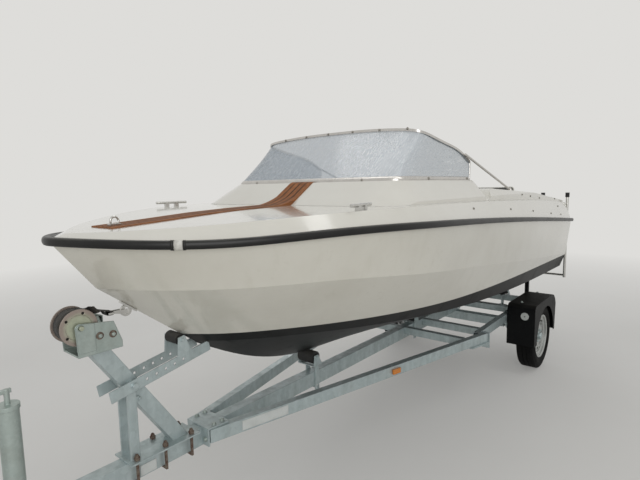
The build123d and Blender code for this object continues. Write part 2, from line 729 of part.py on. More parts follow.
def make_ladder_knobs():
    s = HULL_LENGTH + LADDER.stand
    knobs = []
    for y in (LADDER.inner, LADDER.outer):
        plug = rod((s, y, LADDER.top - 20), (s, y, LADDER.top + 5), LADDER.radius - LADDER.wall - TOUCH)
        knobs.append(plug + rod((s, y, LADDER.top + TOUCH), (s, y, LADDER.top + 42), LADDER.radius + 5))
    return group(*knobs)


def side_beam_places():
    """Both ends of the port side beam's centreline in plan, and its direction."""
    (s0, y0), (s1, y1) = SIDE_BEAM_OUTER
    size = hypot(s1 - s0, y1 - y0)
    ahead, aside = (s1 - s0) / size, (y1 - y0) / size
    half = SIDE_BEAM.width / 2
    front = CLAMP_FRONT + CLAMP_PLATE + TOUCH + half * aside
    rear = CLAMP_REAR - TOUCH - half * aside
    shift = y0 - half / ahead
    return [(s, shift + (s - s0) * aside / ahead) for s in (front, rear)], (ahead, aside)


def make_centre_beam():
    return beam((BEAM_START, 0), (REAR_CROSS[0] - REAR_CROSS[1] / 2 - TOUCH, 0), CENTRE_BEAM)


def make_side_beams():
    (front, rear), direction = side_beam_places()
    lengthways = beam((RAIL_BEAM.start, RAIL_BEAM.centre), (RAIL_BEAM.end, RAIL_BEAM.centre), SIDE_BEAM)
    return group(both(beam(front, rear, SIDE_BEAM)), both(lengthways))


def make_cross_tubes():
    (front, rear), (ahead, aside) = side_beam_places()
    near = CENTRE_BEAM.width / 2 + TOUCH
    far = RAIL_BEAM.centre - SIDE_BEAM.width / 2 - TOUCH
    slanted = front[1] + (CROSS_PLACES[0] - CROSS_TUBE.width / 2 - front[0]) * aside / ahead
    first = slanted - SIDE_BEAM.width / 2 / ahead - TOUCH
    halves = [beam((CROSS_PLACES[0], near), (CROSS_PLACES[0], first), CROSS_TUBE),
              beam((CROSS_PLACES[1], near), (CROSS_PLACES[1], far), CROSS_TUBE)]
    rear_tube = Tube(REAR_CROSS[1], CROSS_TUBE.tall, CROSS_TUBE.wall)
    whole = [beam((REAR_CROSS[0], -far), (REAR_CROSS[0], far), rear_tube),
             beam((CROSS_PLACES[2], -far), (CROSS_PLACES[2], far), CROSS_TUBE)]
    return group(*(both(half) for half in halves), *whole)


def make_frame_clamps():
    top = FRAME_TOP + TOUCH
    side_of_beam = CENTRE_BEAM.width / 2 + TOUCH
    half = CLAMP_HALF
    low = FRAME_TOP - SIDE_BEAM.tall - 14
    front = across([(-half, low), (-half, top + CLAMP_PLATE), (half, top + CLAMP_PLATE), (half, low),
                    (side_of_beam, low), (side_of_beam, top), (-side_of_beam, top), (-side_of_beam, low)],
                   CLAMP_FRONT, CLAMP_FRONT + CLAMP_PLATE)
    wing = CLAMP_FRONT + CLAMP_PLATE - 1
    front += plan([(wing, -half), (650, -half - 12), (650, half + 12), (wing, half)], top, top + CLAMP_PLATE)
    face = RAIL_BEAM.centre + SIDE_BEAM.width / 2 + TOUCH
    corner = plan([(CLAMP_REAR, face), (2706, face), (2706, face + 6), (CLAMP_REAR + 6, face + 6),
                   (CLAMP_REAR + 6, 575), (CLAMP_REAR, 575)], 392, 505)
    low = FRAME_TOP - SIDE_BEAM.tall - TOUCH
    strap = plan([(2370, 462), (2570, 478), (2570, 572), (2520, 572), (2370, 536)], low - 6, low)
    return group(front, both(corner), both(strap))


def make_frame_labels():
    (front, rear), (ahead, aside) = side_beam_places()
    half = CENTRE_BEAM.width / 2 + TOUCH
    plate = box((250, 320), (half, half + 1.5), (424, 468))
    start = at(700, front[1] + (700 - front[0]) * aside / ahead + (SIDE_BEAM.width / 2 + TOUCH) / ahead, 447)
    sheet = Plane(origin=start, x_dir=(-ahead, aside, 0), z_dir=(0, 0, 1)) * Box(
        250, 1.2, 46, align=(Align.MIN, Align.MAX, Align.MIN))
    return group(plate, sheet)


def make_side_markers():
    (front, rear), (ahead, aside) = side_beam_places()
    start = at(1640, front[1] + (1640 - front[0]) * aside / ahead + (SIDE_BEAM.width / 2 + TOUCH) / ahead,
               456)
    lamp = Plane(origin=start, x_dir=(-ahead, aside, 0), z_dir=(0, 0, 1)) * Box(
        62, 14, 28, align=(Align.MIN, Align.MAX, Align.MIN))
    return both(fillet(lamp.edges().filter_by(Axis.Z), 5))


def make_coupling_head():
    s, low, high = COUPLING.s, COUPLING.low, COUPLING.high
    collar = (BEAM_START - 30, BEAM_START + 40)
    body = side([(s - 38, COUPLING.z - 3), ((s - 36, high - 8), (s - 4, high)), (collar[0], high),
                 (collar[0], high + 6), (collar[1], high + 6), (collar[1], low - 20), (collar[0], low - 20),
                 (collar[0] - 10, low + 8), (s + 37, low + 8), (s + 30, low), (s - 32, low)],
                -COUPLING.half, COUPLING.half)
    slot = box((collar[0], collar[1] + 10), (-CENTRE_BEAM.width / 2 - TOUCH, CENTRE_BEAM.width / 2 + TOUCH),
               (FRAME_TOP - CENTRE_BEAM.tall - TOUCH, FRAME_TOP + TOUCH))
    ball = Solid.make_sphere(COUPLING.ball, Plane(origin=at(s, 0, COUPLING.z)), angle1=-90, angle2=90)
    throat = rod((s, 0, low - 32), (s, 0, COUPLING.z), COUPLING.ball)
    return body - slot - ball - throat


def make_coupling_handle():
    low = FRAME_TOP + TOUCH
    return side([(-520, low), (-470, low), (-380, 540), (-300, 543), (-300, 555), (-384, 555), (-476,
                                                                                                low + 15),
                 (-520, low + 15)], -14, 14)


def make_u_bolts():
    bolts = []
    inner, thick, low = U_BOLT.inner, U_BOLT.thick, FRAME_TOP - CENTRE_BEAM.tall - TOUCH
    for s in U_BOLT.places:
        legs = across([(-inner - thick, low - thick), (inner + thick, low - thick), (inner + thick, 532),
                       (inner, 532), (inner, low), (-inner, low), (-inner, 532), (-inner - thick, 532)],
                      s - thick / 2, s + thick / 2)
        nut = box((s - 8, s + 8), (inner - 3.5, inner + thick + 3.5), (FRAME_TOP + POST_PLATE + 2 * TOUCH,
                                                                       517))
        bolts.append(legs.fuse(nut, nut.mirror(Plane.XZ)))
    return group(*bolts)


def post_width():
    """Width of the leaning winch post along s, measured level."""
    run, rise = POST_FOOT[0] - POST_HEAD[0], POST_HEAD[1] - POST_FOOT[1]
    return WINCH_POST.width * hypot(run, rise) / rise


def post_place(z, shift=0.0):
    """Distance aft of the winch post's centreline at height z, with a level shift."""
    share = (z - POST_FOOT[1]) / (POST_HEAD[1] - POST_FOOT[1])
    return POST_FOOT[0] + (POST_HEAD[0] - POST_FOOT[0]) * share + shift


def make_winch_post():
    half, wall = post_width() / 2, WINCH_POST.wall * post_width() / WINCH_POST.width
    low, high = FRAME_TOP + TOUCH + POST_PLATE - 1, POST_HEAD[1]
    y = WINCH_POST.tall / 2
    tube = side([(post_place(low, -half), low), (post_place(low, half), low), (post_place(high, half), high),
                 (post_place(high, -half), high)], -y, y)
    tube -= side([(post_place(low - 9, wall - half), low - 9), (post_place(low - 9, half - wall), low - 9),
                  (post_place(high + 9, half - wall), high + 9), (post_place(high + 9, wall - half),
                                                                  high + 9)],
                 WINCH_POST.wall - y, y - WINCH_POST.wall)
    plate = box((200, 510), (-66, 66), (FRAME_TOP + TOUCH, FRAME_TOP + TOUCH + POST_PLATE))
    for s in U_BOLT.places:
        reach, near = U_BOLT.thick / 2 + U_BOLT.play, U_BOLT.inner - U_BOLT.play
        far = U_BOLT.inner + U_BOLT.thick + U_BOLT.play
        hole = box((s - reach, s + reach), (near, far), (FRAME_TOP, FRAME_TOP + POST_PLATE + 5))
        plate = plate - hole - hole.mirror(Plane.XZ)
    leg = box((212, 250), (y + TOUCH, y + TOUCH + 8), (FRAME_TOP + TOUCH + POST_PLATE - 1, 780))
    return tube.fuse(plate, leg, leg.mirror(Plane.XZ), rod((262, -y - 14, 745), (262, y + 14, 745), 6),
                     box((240, 262), (y - 1, y + 8), (735, 755)))


def make_bow_support():
    (s0, z0), (s1, z1) = ARM_ENDS
    size = hypot(s1 - s0, z1 - z0)
    ahead, rise = (s1 - s0) / size, (z1 - z0) / size
    half = ARM_PLATE.tall / 2

    def place(distance, up):
        return s0 + ahead * distance - rise * up, z0 + rise * distance + ahead * up

    pin = stem(BOW_ROLLER.s, BOW_ROLLER.radius + TOUCH)
    reach = (pin[0] - s0) * ahead + (pin[1] - z0) * rise
    ear = -(pin[0] - s0) * rise + (pin[1] - z0) * ahead
    plate = side([place(0, -half), place(size, -half), place(size, half), place(reach + 34, half),
                  place(reach + 15, ear + 14), place(reach - 15, ear + 14), place(reach - 34, half),
                  place(0, half)], ARM_PLATE.inner, ARM_PLATE.inner + ARM_PLATE.thick)
    for step in range(5):
        hole = place(150 + 42 * step, 0)
        plate -= rod((hole[0], 40, hole[1]), (hole[0], 60, hole[1]), 6)
    spot = place(95, 0)
    spacer = rod((spot[0], WINCH_POST.tall / 2 + TOUCH, spot[1]), (spot[0], ARM_PLATE.inner + 1, spot[1]),
                 20)
    head = rod((spot[0], ARM_PLATE.inner + 1, spot[1]), (spot[0], ARM_PLATE.inner + 17, spot[1]), 12)
    arm = plate.fuse(spacer, head)
    axle = rod((pin[0], -ARM_PLATE.inner - 12, pin[1]), (pin[0], ARM_PLATE.inner + 12, pin[1]), 8)
    return arm.fuse(arm.mirror(Plane.XZ), axle) - hull_block(-10 * TOUCH)


def make_bow_roller():
    s, z = stem(BOW_ROLLER.s, BOW_ROLLER.radius + TOUCH)
    bore, waist = 8 + RUNNING, BOW_ROLLER.radius
    return turned([(-BOW_ROLLER.half, bore), (-BOW_ROLLER.half, waist), (BOW_ROLLER.half, waist),
                   (BOW_ROLLER.half, bore)], s, z)


def make_winch_frame():
    low = POST_HEAD[1] + TOUCH
    cheek = side([(36, 1082), ((44, 1092), (60, 1093)), (171, 1078), (199, 1000), (199, low), (42, low)],
                 CHEEK.y, CHEEK.y + CHEEK.thick)
    bores = [rod((DRUM.s, -100, DRUM.z), (DRUM.s, 100, DRUM.z), DRUM.shaft + RUNNING),
             rod((CRANK.s, -130, CRANK.z), (CRANK.s, 0, CRANK.z), DRUM.shaft + RUNNING)]
    base = box((42, 199), (-CHEEK.y - 1, CHEEK.y + 1), (low, low + 6))
    tie = rod((170, -CHEEK.y - 1, 1020), (170, CHEEK.y + 1, 1020), 6)
    cover = side([(80, 1044), (130, 1002), (190, 1030), (190, 1074), (125, 1104), (80, 1084)],
                 -CHEEK.y - CHEEK.thick - 24, -CHEEK.y - CHEEK.thick)
    inside = side([(84, 1046), (131, 1007), (186, 1033), (186, 1071), (125, 1099), (84, 1081)],
                  -CHEEK.y - CHEEK.thick - 20, -CHEEK.y - CHEEK.thick + 1)
    body = base.fuse(cheek, cheek.mirror(Plane.XZ), tie, cover - inside)
    return body.cut(*bores)


def make_winch_drum():
    near, far, shaft = DRUM.near, DRUM.far, DRUM.shaft
    ends = -CHEEK.y - CHEEK.thick - 15, CHEEK.y + CHEEK.thick + 9
    drum = turned([(ends[0], 0), (ends[0], shaft), (far, shaft), (far, DRUM.flange),
                   (far + FLANGE_THICK, DRUM.flange), (far + FLANGE_THICK, DRUM.core),
                   (near - FLANGE_THICK, DRUM.core), (near - FLANGE_THICK, DRUM.flange), (near, DRUM.flange),
                   (near, shaft), (ends[1], shaft), (ends[1], 0)], DRUM.s, DRUM.z)
    for index in range(FLANGE_HOLES.count):
        turn = 2 * pi * index / FLANGE_HOLES.count
        s, z = DRUM.s + FLANGE_HOLES.circle * cos(turn), DRUM.z + FLANGE_HOLES.circle * sin(turn)
        drum -= rod((s, near - FLANGE_THICK - 1, z), (s, near + 1, z), FLANGE_HOLES.radius)
    return drum


def make_winch_coil():
    inner = DRUM.core + TOUCH
    low, high = DRUM.far + FLANGE_THICK + TOUCH, DRUM.near - FLANGE_THICK - TOUCH
    return turned([(low, inner), (low, COIL_RADIUS), (high, COIL_RADIUS), (high, inner)], DRUM.s, DRUM.z)


def make_winch_crank():
    outer = -CHEEK.y - CHEEK.thick - 24
    shaft = rod((CRANK.s, CHEEK.y - 60, CRANK.z), (CRANK.s, outer - 22, CRANK.z), DRUM.shaft)
    arm = box((CRANK.s - 13, CRANK.s + 13), (outer - 16, outer - 8), (CRANK.z - CRANK.arm, CRANK.z + 14))
    grip_z = CRANK.z - CRANK.arm + 14
    grip = rod((CRANK.s, outer - 12, grip_z), (CRANK.s, outer - 16 - CRANK.grip, grip_z), 14)
    return shaft.fuse(arm, grip)


def hook_pin():
    """Centre of the hook's pin, pulled against the front of the stem eye's hole."""
    eye = stem(*STEM_EYE)
    run, rise = DRUM.s - eye[0], DRUM.z - eye[1]
    slack = EYE_HOLE - HOOK_PIN - TOUCH
    return eye[0] + run / hypot(run, rise) * slack, eye[1] + rise / hypot(run, rise) * slack


def strap_places():
    """Start on the coil, end at the hook and direction of the winch strap, in side view."""
    eye = hook_pin()
    end = (eye[0] - 55, eye[1] + 10)
    run, rise = end[0] - DRUM.s, end[1] - DRUM.z
    distance = hypot(run, rise)
    lift = COIL_RADIUS + 1.5
    turn = atan2(rise, run) + atan2(sqrt(distance ** 2 - lift ** 2), lift)
    start = (DRUM.s + lift * cos(turn), DRUM.z + lift * sin(turn))
    return start, end


def make_winch_strap():
    start, end = strap_places()
    size = hypot(end[0] - start[0], end[1] - start[1])
    ahead, rise = (end[0] - start[0]) / size, (end[1] - start[1]) / size
    return side([start, end, (end[0] - rise * STRAP_THICK, end[1] + ahead * STRAP_THICK),
                 (start[0] - rise * STRAP_THICK, start[1] + ahead * STRAP_THICK)], -STRAP_HALF, STRAP_HALF)


def make_winch_hook():
    start, end = strap_places()
    eye = hook_pin()
    low = end[1] - 8
    bar = box((end[0] - 16, end[0] + 4), (-STRAP_HALF - 4, STRAP_HALF + 4), (low, end[1] - TOUCH))
    cheek = side([(end[0], low), (end[0], end[1] - TOUCH), (eye[0] + 9, eye[1] + 8), (eye[0] + 9,
                                                                                      eye[1] - 8),
                  (eye[0] - 9, eye[1] - 8)], 7, 12)
    pin = rod((eye[0], -11, eye[1]), (eye[0], 11, eye[1]), HOOK_PIN)
    return bar.fuse(cheek, cheek.mirror(Plane.XZ), pin)


def make_roller_brackets():
    brackets = []
    for s in KEEL_ROLLERS:
        z = keel_height(s) - ROLLER.radius - 3 * TOUCH
        near = CENTRE_BEAM.width / 2 + TOUCH
        ear = ROLLER.half + 3
        deck = z - ROLLER.radius - 12
        bar = box((s + 15, s + 48), (near, near + 6), (380, deck + 3))
        slot = box((s + 25, s + 39), (near - 1, near + 7), (388, 428))
        bar -= slot.fillet(6, slot.edges().filter_by(Axis.Y))
        floor = box((s - 24, s + 50), (-ear - 4, ear + 4), (deck, deck + 6))
        lug = side([(s - 22, deck + 3), (s + 46, deck + 3), (s + 16, z + 14), (s - 16, z + 14)], ear,
                   ear + 5)
        pin = rod((s, -ear - 12, z), (s, ear + 12, z), ROLLER.pin)
        bolt = rod((s + 32, -near - 16, 403), (s + 32, near + 16, 403), 5)
        washer = rod((s + 32, near + 5, 403), (s + 32, near + 9, 403), 12)
        brackets.append(floor.fuse(bar, bar.mirror(Plane.XZ), lug, lug.mirror(Plane.XZ), pin, bolt, washer,
                                   washer.mirror(Plane.XZ)))
    tilt = hull_tilt(SIDE_ROLLER.s)
    s, y, z = side_roller_place()
    foot = FRAME_TOP + TOUCH
    stem_bar = box((s - 20, s + 20), (y - 5, y + 5), (foot, z - SIDE_ROLLER.radius - 6))
    floor = box((s - 25, s + 25), (y - 30, y + 30), (foot, foot + 6))
    holder = box((s - 20, s + 20), (y - SIDE_ROLLER.half - 9, y + SIDE_ROLLER.half + 9),
                 (z - SIDE_ROLLER.radius - 10, z - SIDE_ROLLER.radius - 5))
    for end in (-1, 1):
        inner = y + end * (SIDE_ROLLER.half + 4)
        holder += box((s - 14, s + 14), sorted((inner, inner + end * 5)), (z - SIDE_ROLLER.radius - 10,
                                                                           z + 14))
    holder += rod((s, y - SIDE_ROLLER.half - 12, z), (s, y + SIDE_ROLLER.half + 12, z), ROLLER.pin)
    holder = holder.rotate(Axis(at(s, y, z), (1, 0, 0)), tilt)
    return group(*brackets, both(holder.fuse(stem_bar, floor)))


def side_roller_place():
    """Centre of the port roller that carries the hull's flat bottom."""
    s, y = SIDE_ROLLER.s, SIDE_ROLLER.y
    slope = hull_tilt(s) * pi / 180
    z = hull_bottom(s, y) - (SIDE_ROLLER.radius + 2 * TOUCH) * cos(slope)
    return s, y + sin(slope) * SIDE_ROLLER.radius, z


def make_hull_rollers():
    rollers = []
    for s in KEEL_ROLLERS:
        z = keel_height(s) - ROLLER.radius - 3 * TOUCH
        bore = ROLLER.pin + RUNNING
        rollers.append(turned([(-ROLLER.half, bore), (-ROLLER.half, ROLLER.radius), (ROLLER.half,
                                                                                     ROLLER.radius),
                               (ROLLER.half, bore)], s, z))
    s, y, z = side_roller_place()
    wheel = turned([(y - SIDE_ROLLER.half, ROLLER.pin + RUNNING), (y - SIDE_ROLLER.half,
                                                                   SIDE_ROLLER.radius - 6),
                    (y - SIDE_ROLLER.half + 6, SIDE_ROLLER.radius), (y + SIDE_ROLLER.half - 6,
                                                                     SIDE_ROLLER.radius),
                    (y + SIDE_ROLLER.half, SIDE_ROLLER.radius - 6), (y + SIDE_ROLLER.half,
                                                                     ROLLER.pin + RUNNING)],
                   s, z)
    return group(*rollers, both(wheel.rotate(Axis(at(s, y, z), (1, 0, 0)), hull_tilt(s))))


def make_side_posts():
    s, y, half = POST.s, RAIL_BEAM.centre, POST.size / 2
    foot = FRAME_TOP + TOUCH
    top = hull_bottom(s, y)
    post = box((s - half, s + half), (y - half, y + half), (foot, top - 20))
    post -= box((s - half + 3, s + half - 3), (y - half + 3, y + half - 3), (foot - 1, top - 30))
    pad = box((s - POST.pad_long / 2, s + POST.pad_long / 2), (y - POST.pad_half, y + POST.pad_half),
              (top - 34, top + 30))
    under = [(y - 80, hull_bottom(s, y - 80) - 22), (y + 80, hull_bottom(s, y + 80) - 22), (y + 80,
                                                                                            top + 90),
             (y - 80, top + 90)]
    pad = (pad & across(under, s - 100, s + 100)) - hull_block(-2 * TOUCH)
    flange = box((s - 30, s + 30), (y - 20, y + 20), (foot, foot + 6))
    return both(post.fuse(flange, pad))


def make_axle_beam():
    y = AXLE.half
    tube = beam((AXLE.s, -y), (AXLE.s, y), AXLE_TUBE, AXLE.top - TOUCH)
    low = AXLE.top - TOUCH - 1
    shoe = box((AXLE.s - 60, AXLE.s + 60), (RAIL_BEAM.centre - 60, RAIL_BEAM.centre - 48), (low - 20, 439))
    top = box((AXLE.s - 60, AXLE.s + 60), (RAIL_BEAM.centre - 60, RAIL_BEAM.centre + 18),
              (432, FRAME_TOP - SIDE_BEAM.tall - TOUCH))
    saddle = shoe.fuse(top)
    return tube.fuse(saddle, saddle.mirror(Plane.XZ))


def make_axle_arms():
    s, z = AXLE.s, AXLE.top - AXLE_TUBE.tall / 2
    y0, y1 = AXLE.half + TOUCH, AXLE.half + TOUCH + AXLE.arm
    run, fall = WHEEL.s - s, WHEEL.radius - z
    size = hypot(run, fall)
    nx, nz = -fall / size * 26, run / size * 26
    arm = side([(s + nx, z + nz), (WHEEL.s + nx, WHEEL.radius + nz), (WHEEL.s - nx, WHEEL.radius - nz),
                (s - nx, z - nz)], y0, y1)
    pivot = rod((s, y0, z), (s, y1, z), 30)
    end = rod((WHEEL.s, y0, WHEEL.radius), (WHEEL.s, y1 + 8, WHEEL.radius), 28)
    stub = rod((WHEEL.s, y0, WHEEL.radius), (WHEEL.s, hub_face() + 26, WHEEL.radius), STUB_RADIUS)
    return both(arm.fuse(pivot, end, stub))


def hub_face():
    """Where the wheel's disc bolts to the hub, across the boat."""
    return WHEEL.y + WHEEL.offset


def make_hub():
    face = hub_face()
    bore = STUB_RADIUS + RUNNING
    hub = turned([(face - 82, bore), (face - 82, HUB_RADIUS), (face - 8, HUB_RADIUS), (face - 8,
                                                                                       STUD_CIRCLE + 13),
                  (face, STUD_CIRCLE + 13), (face, 29), (face + 24, 29), ((face + 32, 26), (face + 34, 18)),
                  (face + 34, 0), (face + 28, 0), (face + 28, bore)], WHEEL.s, WHEEL.radius)
    studs = []
    for index in range(STUDS):
        turn = 2 * pi * (index + 0.5) / STUDS
        s, z = WHEEL.s + STUD_CIRCLE * cos(turn), WHEEL.radius + STUD_CIRCLE * sin(turn)
        studs.append(rod((s, face - 2, z), (s, face + 22, z), 6))
        studs.append(rod((s, face + 5, z), (s, face + 17, z), 10))
    return hub.fuse(*studs)


def make_rim():
    def y(offset):
        return WHEEL.y + offset

    seat, lip, drop, steel = WHEEL.seat, 178, 142, 3
    disc = WHEEL.offset + TOUCH
    rim = turned([(y(62), lip), (y(59.5), lip), (y(58.5), seat + 2.5), (y(56), seat), (y(46), seat),
                  (y(38), drop),
                  (y(-38), drop), (y(-46), seat), (y(-56), seat), (y(-58.5), seat + 2.5), (y(-59.5), lip),
                  (y(-62), lip), (y(-61), seat + 0.5), (y(-57), seat - steel), (y(-48), seat - steel),
                  (y(-40), drop - steel), (y(disc), drop - steel), (y(disc), 30), (y(disc + 4), 30),
                  (y(disc + 4), drop - steel), (y(40), drop - steel), (y(48), seat - steel), (y(57),
                                                                                              seat - steel),
                  (y(61), seat + 0.5)], WHEEL.s, WHEEL.radius)
    cuts = []
    for index in range(STUDS):
        turn = 2 * pi * (index + 0.5) / STUDS
        s, z = WHEEL.s + STUD_CIRCLE * cos(turn), WHEEL.radius + STUD_CIRCLE * sin(turn)
        cuts.append(rod((s, 600, z), (s, 700, z), 7.5))
    slot = box((WHEEL.s - 17, WHEEL.s + 17), (650, 690), (WHEEL.radius + 102, WHEEL.radius + 122))
    slot = slot.fillet(9, slot.edges().filter_by(Axis.Y))
    axis = Axis(at(WHEEL.s, 0, WHEEL.radius), (0, 1, 0))
    cuts += [slot.rotate(axis, 45 * index) for index in range(8)]
    return rim.cut(*cuts)


def make_tyre():
    def y(offset):
        return WHEEL.y + offset

    half, radius, bead = WHEEL.width / 2, WHEEL.radius, WHEEL.bead
    groove = [(18, radius), (18, radius - 6), (13, radius - 6), (13, radius), (-13, radius), (-13,
                                                                                              radius - 6),
              (-18, radius - 6), (-18, radius)]
    return turned([(y(47), bead), (y(55.5), bead), (y(57.6), bead + 2.5), (y(58), 181), ((y(half), 217),
                                                                                         (y(half - 7),
                                                                                          250)),
                   ((y(half - 12), 262), (y(half - 22), radius)), *[(y(a), r) for a, r in groove],
                   (y(22 - half), radius), ((y(12 - half), 262), (y(7 - half), 250)), ((y(-half), 217),
                                                                                       (y(-58), 181)),
                   (y(-57.6), bead + 2.5), (y(-55.5), bead), (y(-47), bead), (y(-47), 180),
                   ((y(11 - half), 216), (y(18 - half), 245)),
                   (y(-44), 254), (y(44), 254), (y(half - 18), 245), ((y(half - 11), 216), (y(47), 180))],
                  WHEEL.s, WHEEL.radius)


def mudguard_outline(inset):
    """Side view of the mudguard's outer surface, moved inwards by inset."""
    front, rear, top, low = 3130 + inset, 3760 - inset, MUDGUARD.top - inset, 265 - (1 if inset else 0)
    return [(front, low), (front, top - 45), ((front + 13, top - 13), (front + 45, top)), (3650, top),
            ((3735, top - 35), (rear + 20, top - 100)), (rear, low)]


def make_mudguards():
    guard = side(mudguard_outline(0), MUDGUARD.inner, MUDGUARD.outer)
    guard -= side(mudguard_outline(MUDGUARD.skin), MUDGUARD.inner - 1, MUDGUARD.outer - MUDGUARD.skin)
    guard -= rod((WHEEL.s, MUDGUARD.outer - 30, WHEEL.radius), (WHEEL.s, MUDGUARD.outer + 10, WHEEL.radius),
                 MUDGUARD.arch)
    return both(guard)


def make_mudguard_brackets():
    brackets = []
    top = MUDGUARD.top - MUDGUARD.skin - TOUCH
    foot = FRAME_TOP + TOUCH
    for s in (3235, 3620):
        brackets.append(across([(478, foot), (600, foot), (600, top - 5), (640, top - 5), (640, top),
                                (595, top),
                                (595, foot + 5), (478, foot + 5)], s - 18, s + 18))
    return both(group(*brackets))


def make_reflectors():
    return both(rod((3130 - TOUCH, 655, 505), (3130 - TOUCH - 6, 655, 505), 30))


def make_jockey_sleeve():
    s, y = JOCKEY.s, JOCKEY.y
    tube = pipe((s, y, JOCKEY.bottom), (s, y, JOCKEY.top), JOCKEY.outer, JOCKEY.wall)
    near = CENTRE_BEAM.width / 2 + TOUCH
    plates = [box((s - 45, s + 45), (near, near + 8), (z, z + 46)) for z in (424, 470)]
    clamp = box((s - 34, s + 34), (near, y + JOCKEY.outer + 8), (430, 480))
    clamp -= rod((s, y, 420), (s, y, 490), JOCKEY.outer - 0.5)
    lever = rod((s - 20, y + JOCKEY.outer + 4, 455), (s - 20, y + JOCKEY.outer + 70, 455), 6)
    cap_ring = rod((s, y, JOCKEY.top), (s, y, JOCKEY.top + 14), JOCKEY.outer + 3)
    spindle = rod((s, y, JOCKEY.top + 10), (s, y, JOCKEY.top + 62), 8)
    arm = box((s - 120, s + 12), (y - 6, y + 6), (JOCKEY.top + 50, JOCKEY.top + 62))
    knob = rod((s - 112, y, JOCKEY.top + 56), (s - 112, y, JOCKEY.top + 120), 12)
    return tube.fuse(clamp, lever, cap_ring, spindle, arm, knob, plates[0])


def make_jockey_tube():
    s, y = JOCKEY.s, JOCKEY.y
    return pipe((s, y, 232), (s, y, 640), JOCKEY.outer - JOCKEY.wall - 2 * RUNNING, JOCKEY.wall)


def make_jockey_fork():
    s, y = JOCKEY.s, JOCKEY.y
    inner = JOCKEY.outer - 2 * JOCKEY.wall - 3 * RUNNING
    half = JOCKEY_WHEEL.width / 2 + 6
    axle_s, axle_z = s + JOCKEY_WHEEL.trail, JOCKEY_WHEEL.radius
    stalk = rod((s, y, 226), (s, y, 300), inner)
    crown = box((s - 30, s + 34), (y - half - 6, y + half + 6), (222, 232 - TOUCH))
    cheek = side([(s - 30, 224), (s + 34, 224), (axle_s + 20, axle_z + 4), (axle_s + 6, axle_z - 16),
                  (axle_s - 14, axle_z - 10)], y + half, y + half + 6)
    mirror = cheek.moved(Location((0, -2 * half - 6, 0)))
    pin = rod((axle_s, y - half - 12, axle_z), (axle_s, y + half + 12, axle_z), 8)
    return stalk.fuse(crown, cheek, mirror, pin)


def make_jockey_wheel():
    s, y, radius = JOCKEY.s + JOCKEY_WHEEL.trail, JOCKEY.y, JOCKEY_WHEEL.radius
    half = JOCKEY_WHEEL.width / 2
    return turned([(y - half, 8 + RUNNING), (y - half, 24), (y - 8, 30), (y - 8, 62), (y - half + 4, 66),
                   (y - half, radius - 14), ((y - half + 4, radius - 4), (y - half + 14, radius)),
                   (y + half - 14, radius), ((y + half - 4, radius - 4), (y + half, radius - 14)),
                   (y + half - 4, 66), (y + 8, 62), (y + 8, 30), (y + half, 24), (y + half, 8 + RUNNING)],
                  s, radius)


PIECES = {
    "hull_shell": make_hull_shell,
    "deck_moulding": make_deck_moulding,
    "coaming_moulding": make_coaming_moulding,
    "aft_deck": make_aft_deck,
    "aft_coaming": make_aft_coaming,
    "rub_rail": make_rub_rail,
    "foredeck_planks": make_foredeck_planks,
    "windscreen_pane": make_windscreen_pane,
    "windscreen_frame": make_windscreen_frame,
    "cockpit_sole": make_cockpit_sole,
    "motor_well": make_motor_well,
    "motor_pad": make_motor_pad,
    "bow_ring": make_bow_ring,
    "stem_eye": make_stem_eye,
    "deck_cleats": make_deck_cleats,
    "dashboard": make_dashboard,
    "steering_wheel": make_steering_wheel,
    "seat_bases": make_seat_bases,
    "front_cushions": make_front_cushions,
    "rear_cushions": make_rear_cushions,
    "front_seat_backs": make_front_backs,
    "rear_seat_backs": make_rear_backs,
    "boarding_ladder": make_boarding_ladder,
    "ladder_knobs": make_ladder_knobs,
    "centre_beam": make_centre_beam,
    "side_beams": make_side_beams,
    "cross_tubes": make_cross_tubes,
    "frame_clamps": make_frame_clamps,
    "frame_labels": make_frame_labels,
    "side_markers": make_side_markers,
    "coupling_head": make_coupling_head,
    "coupling_handle": make_coupling_handle,
    "u_bolts": make_u_bolts,
    "winch_post": make_winch_post,
    "bow_support": make_bow_support,
    "bow_roller": make_bow_roller,
    "winch_frame": make_winch_frame,
    "winch_drum": make_winch_drum,
    "winch_coil": make_winch_coil,
    "winch_crank": make_winch_crank,
    "winch_strap": make_winch_strap,
    "winch_hook": make_winch_hook,
    "roller_brackets": make_roller_brackets,
    "hull_rollers": make_hull_rollers,
    "side_posts": make_side_posts,
    "axle_beam": make_axle_beam,
    "axle_arms": make_axle_arms,
    "mudguards": make_mudguards,
    "mudguard_brackets": make_mudguard_brackets,
    "reflectors": make_reflectors,
    "jockey_sleeve": make_jockey_sleeve,
    "jockey_tube": make_jockey_tube,
    "jockey_fork": make_jockey_fork,
    "jockey_wheel": make_jockey_wheel,
}
WHEEL_PIECES = {"hub": make_hub, "rim": make_rim, "tyre": make_tyre}

if __name__ == "__main__":
    for name, make in PIECES.items():
        export_step(make(), f"parts/{name}.step")
    for name, make in WHEEL_PIECES.items():
        piece = make()
        export_step(piece, f"parts/{name}_port.step")
        export_step(piece.mirror(Plane.XZ), f"parts/{name}_starboard.step")
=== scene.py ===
"""Dresses the open speedboat on its road trailer: finishes, upholstery, webbing, fastenings and studio.

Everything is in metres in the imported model's frame: X forward to the bow, Y to port, Z up from the
floor. Places along the boat are written as a distance aft of the bow tip, as on a boatbuilder's
drawing, and place() turns them into points.
"""

import logging
import math
from dataclasses import dataclass, field
from enum import Enum
from typing import Any, ClassVar, Iterable, Optional

import bmesh
import bpy
from mathutils import Matrix, Vector
from mathutils.bvhtree import BVHTree


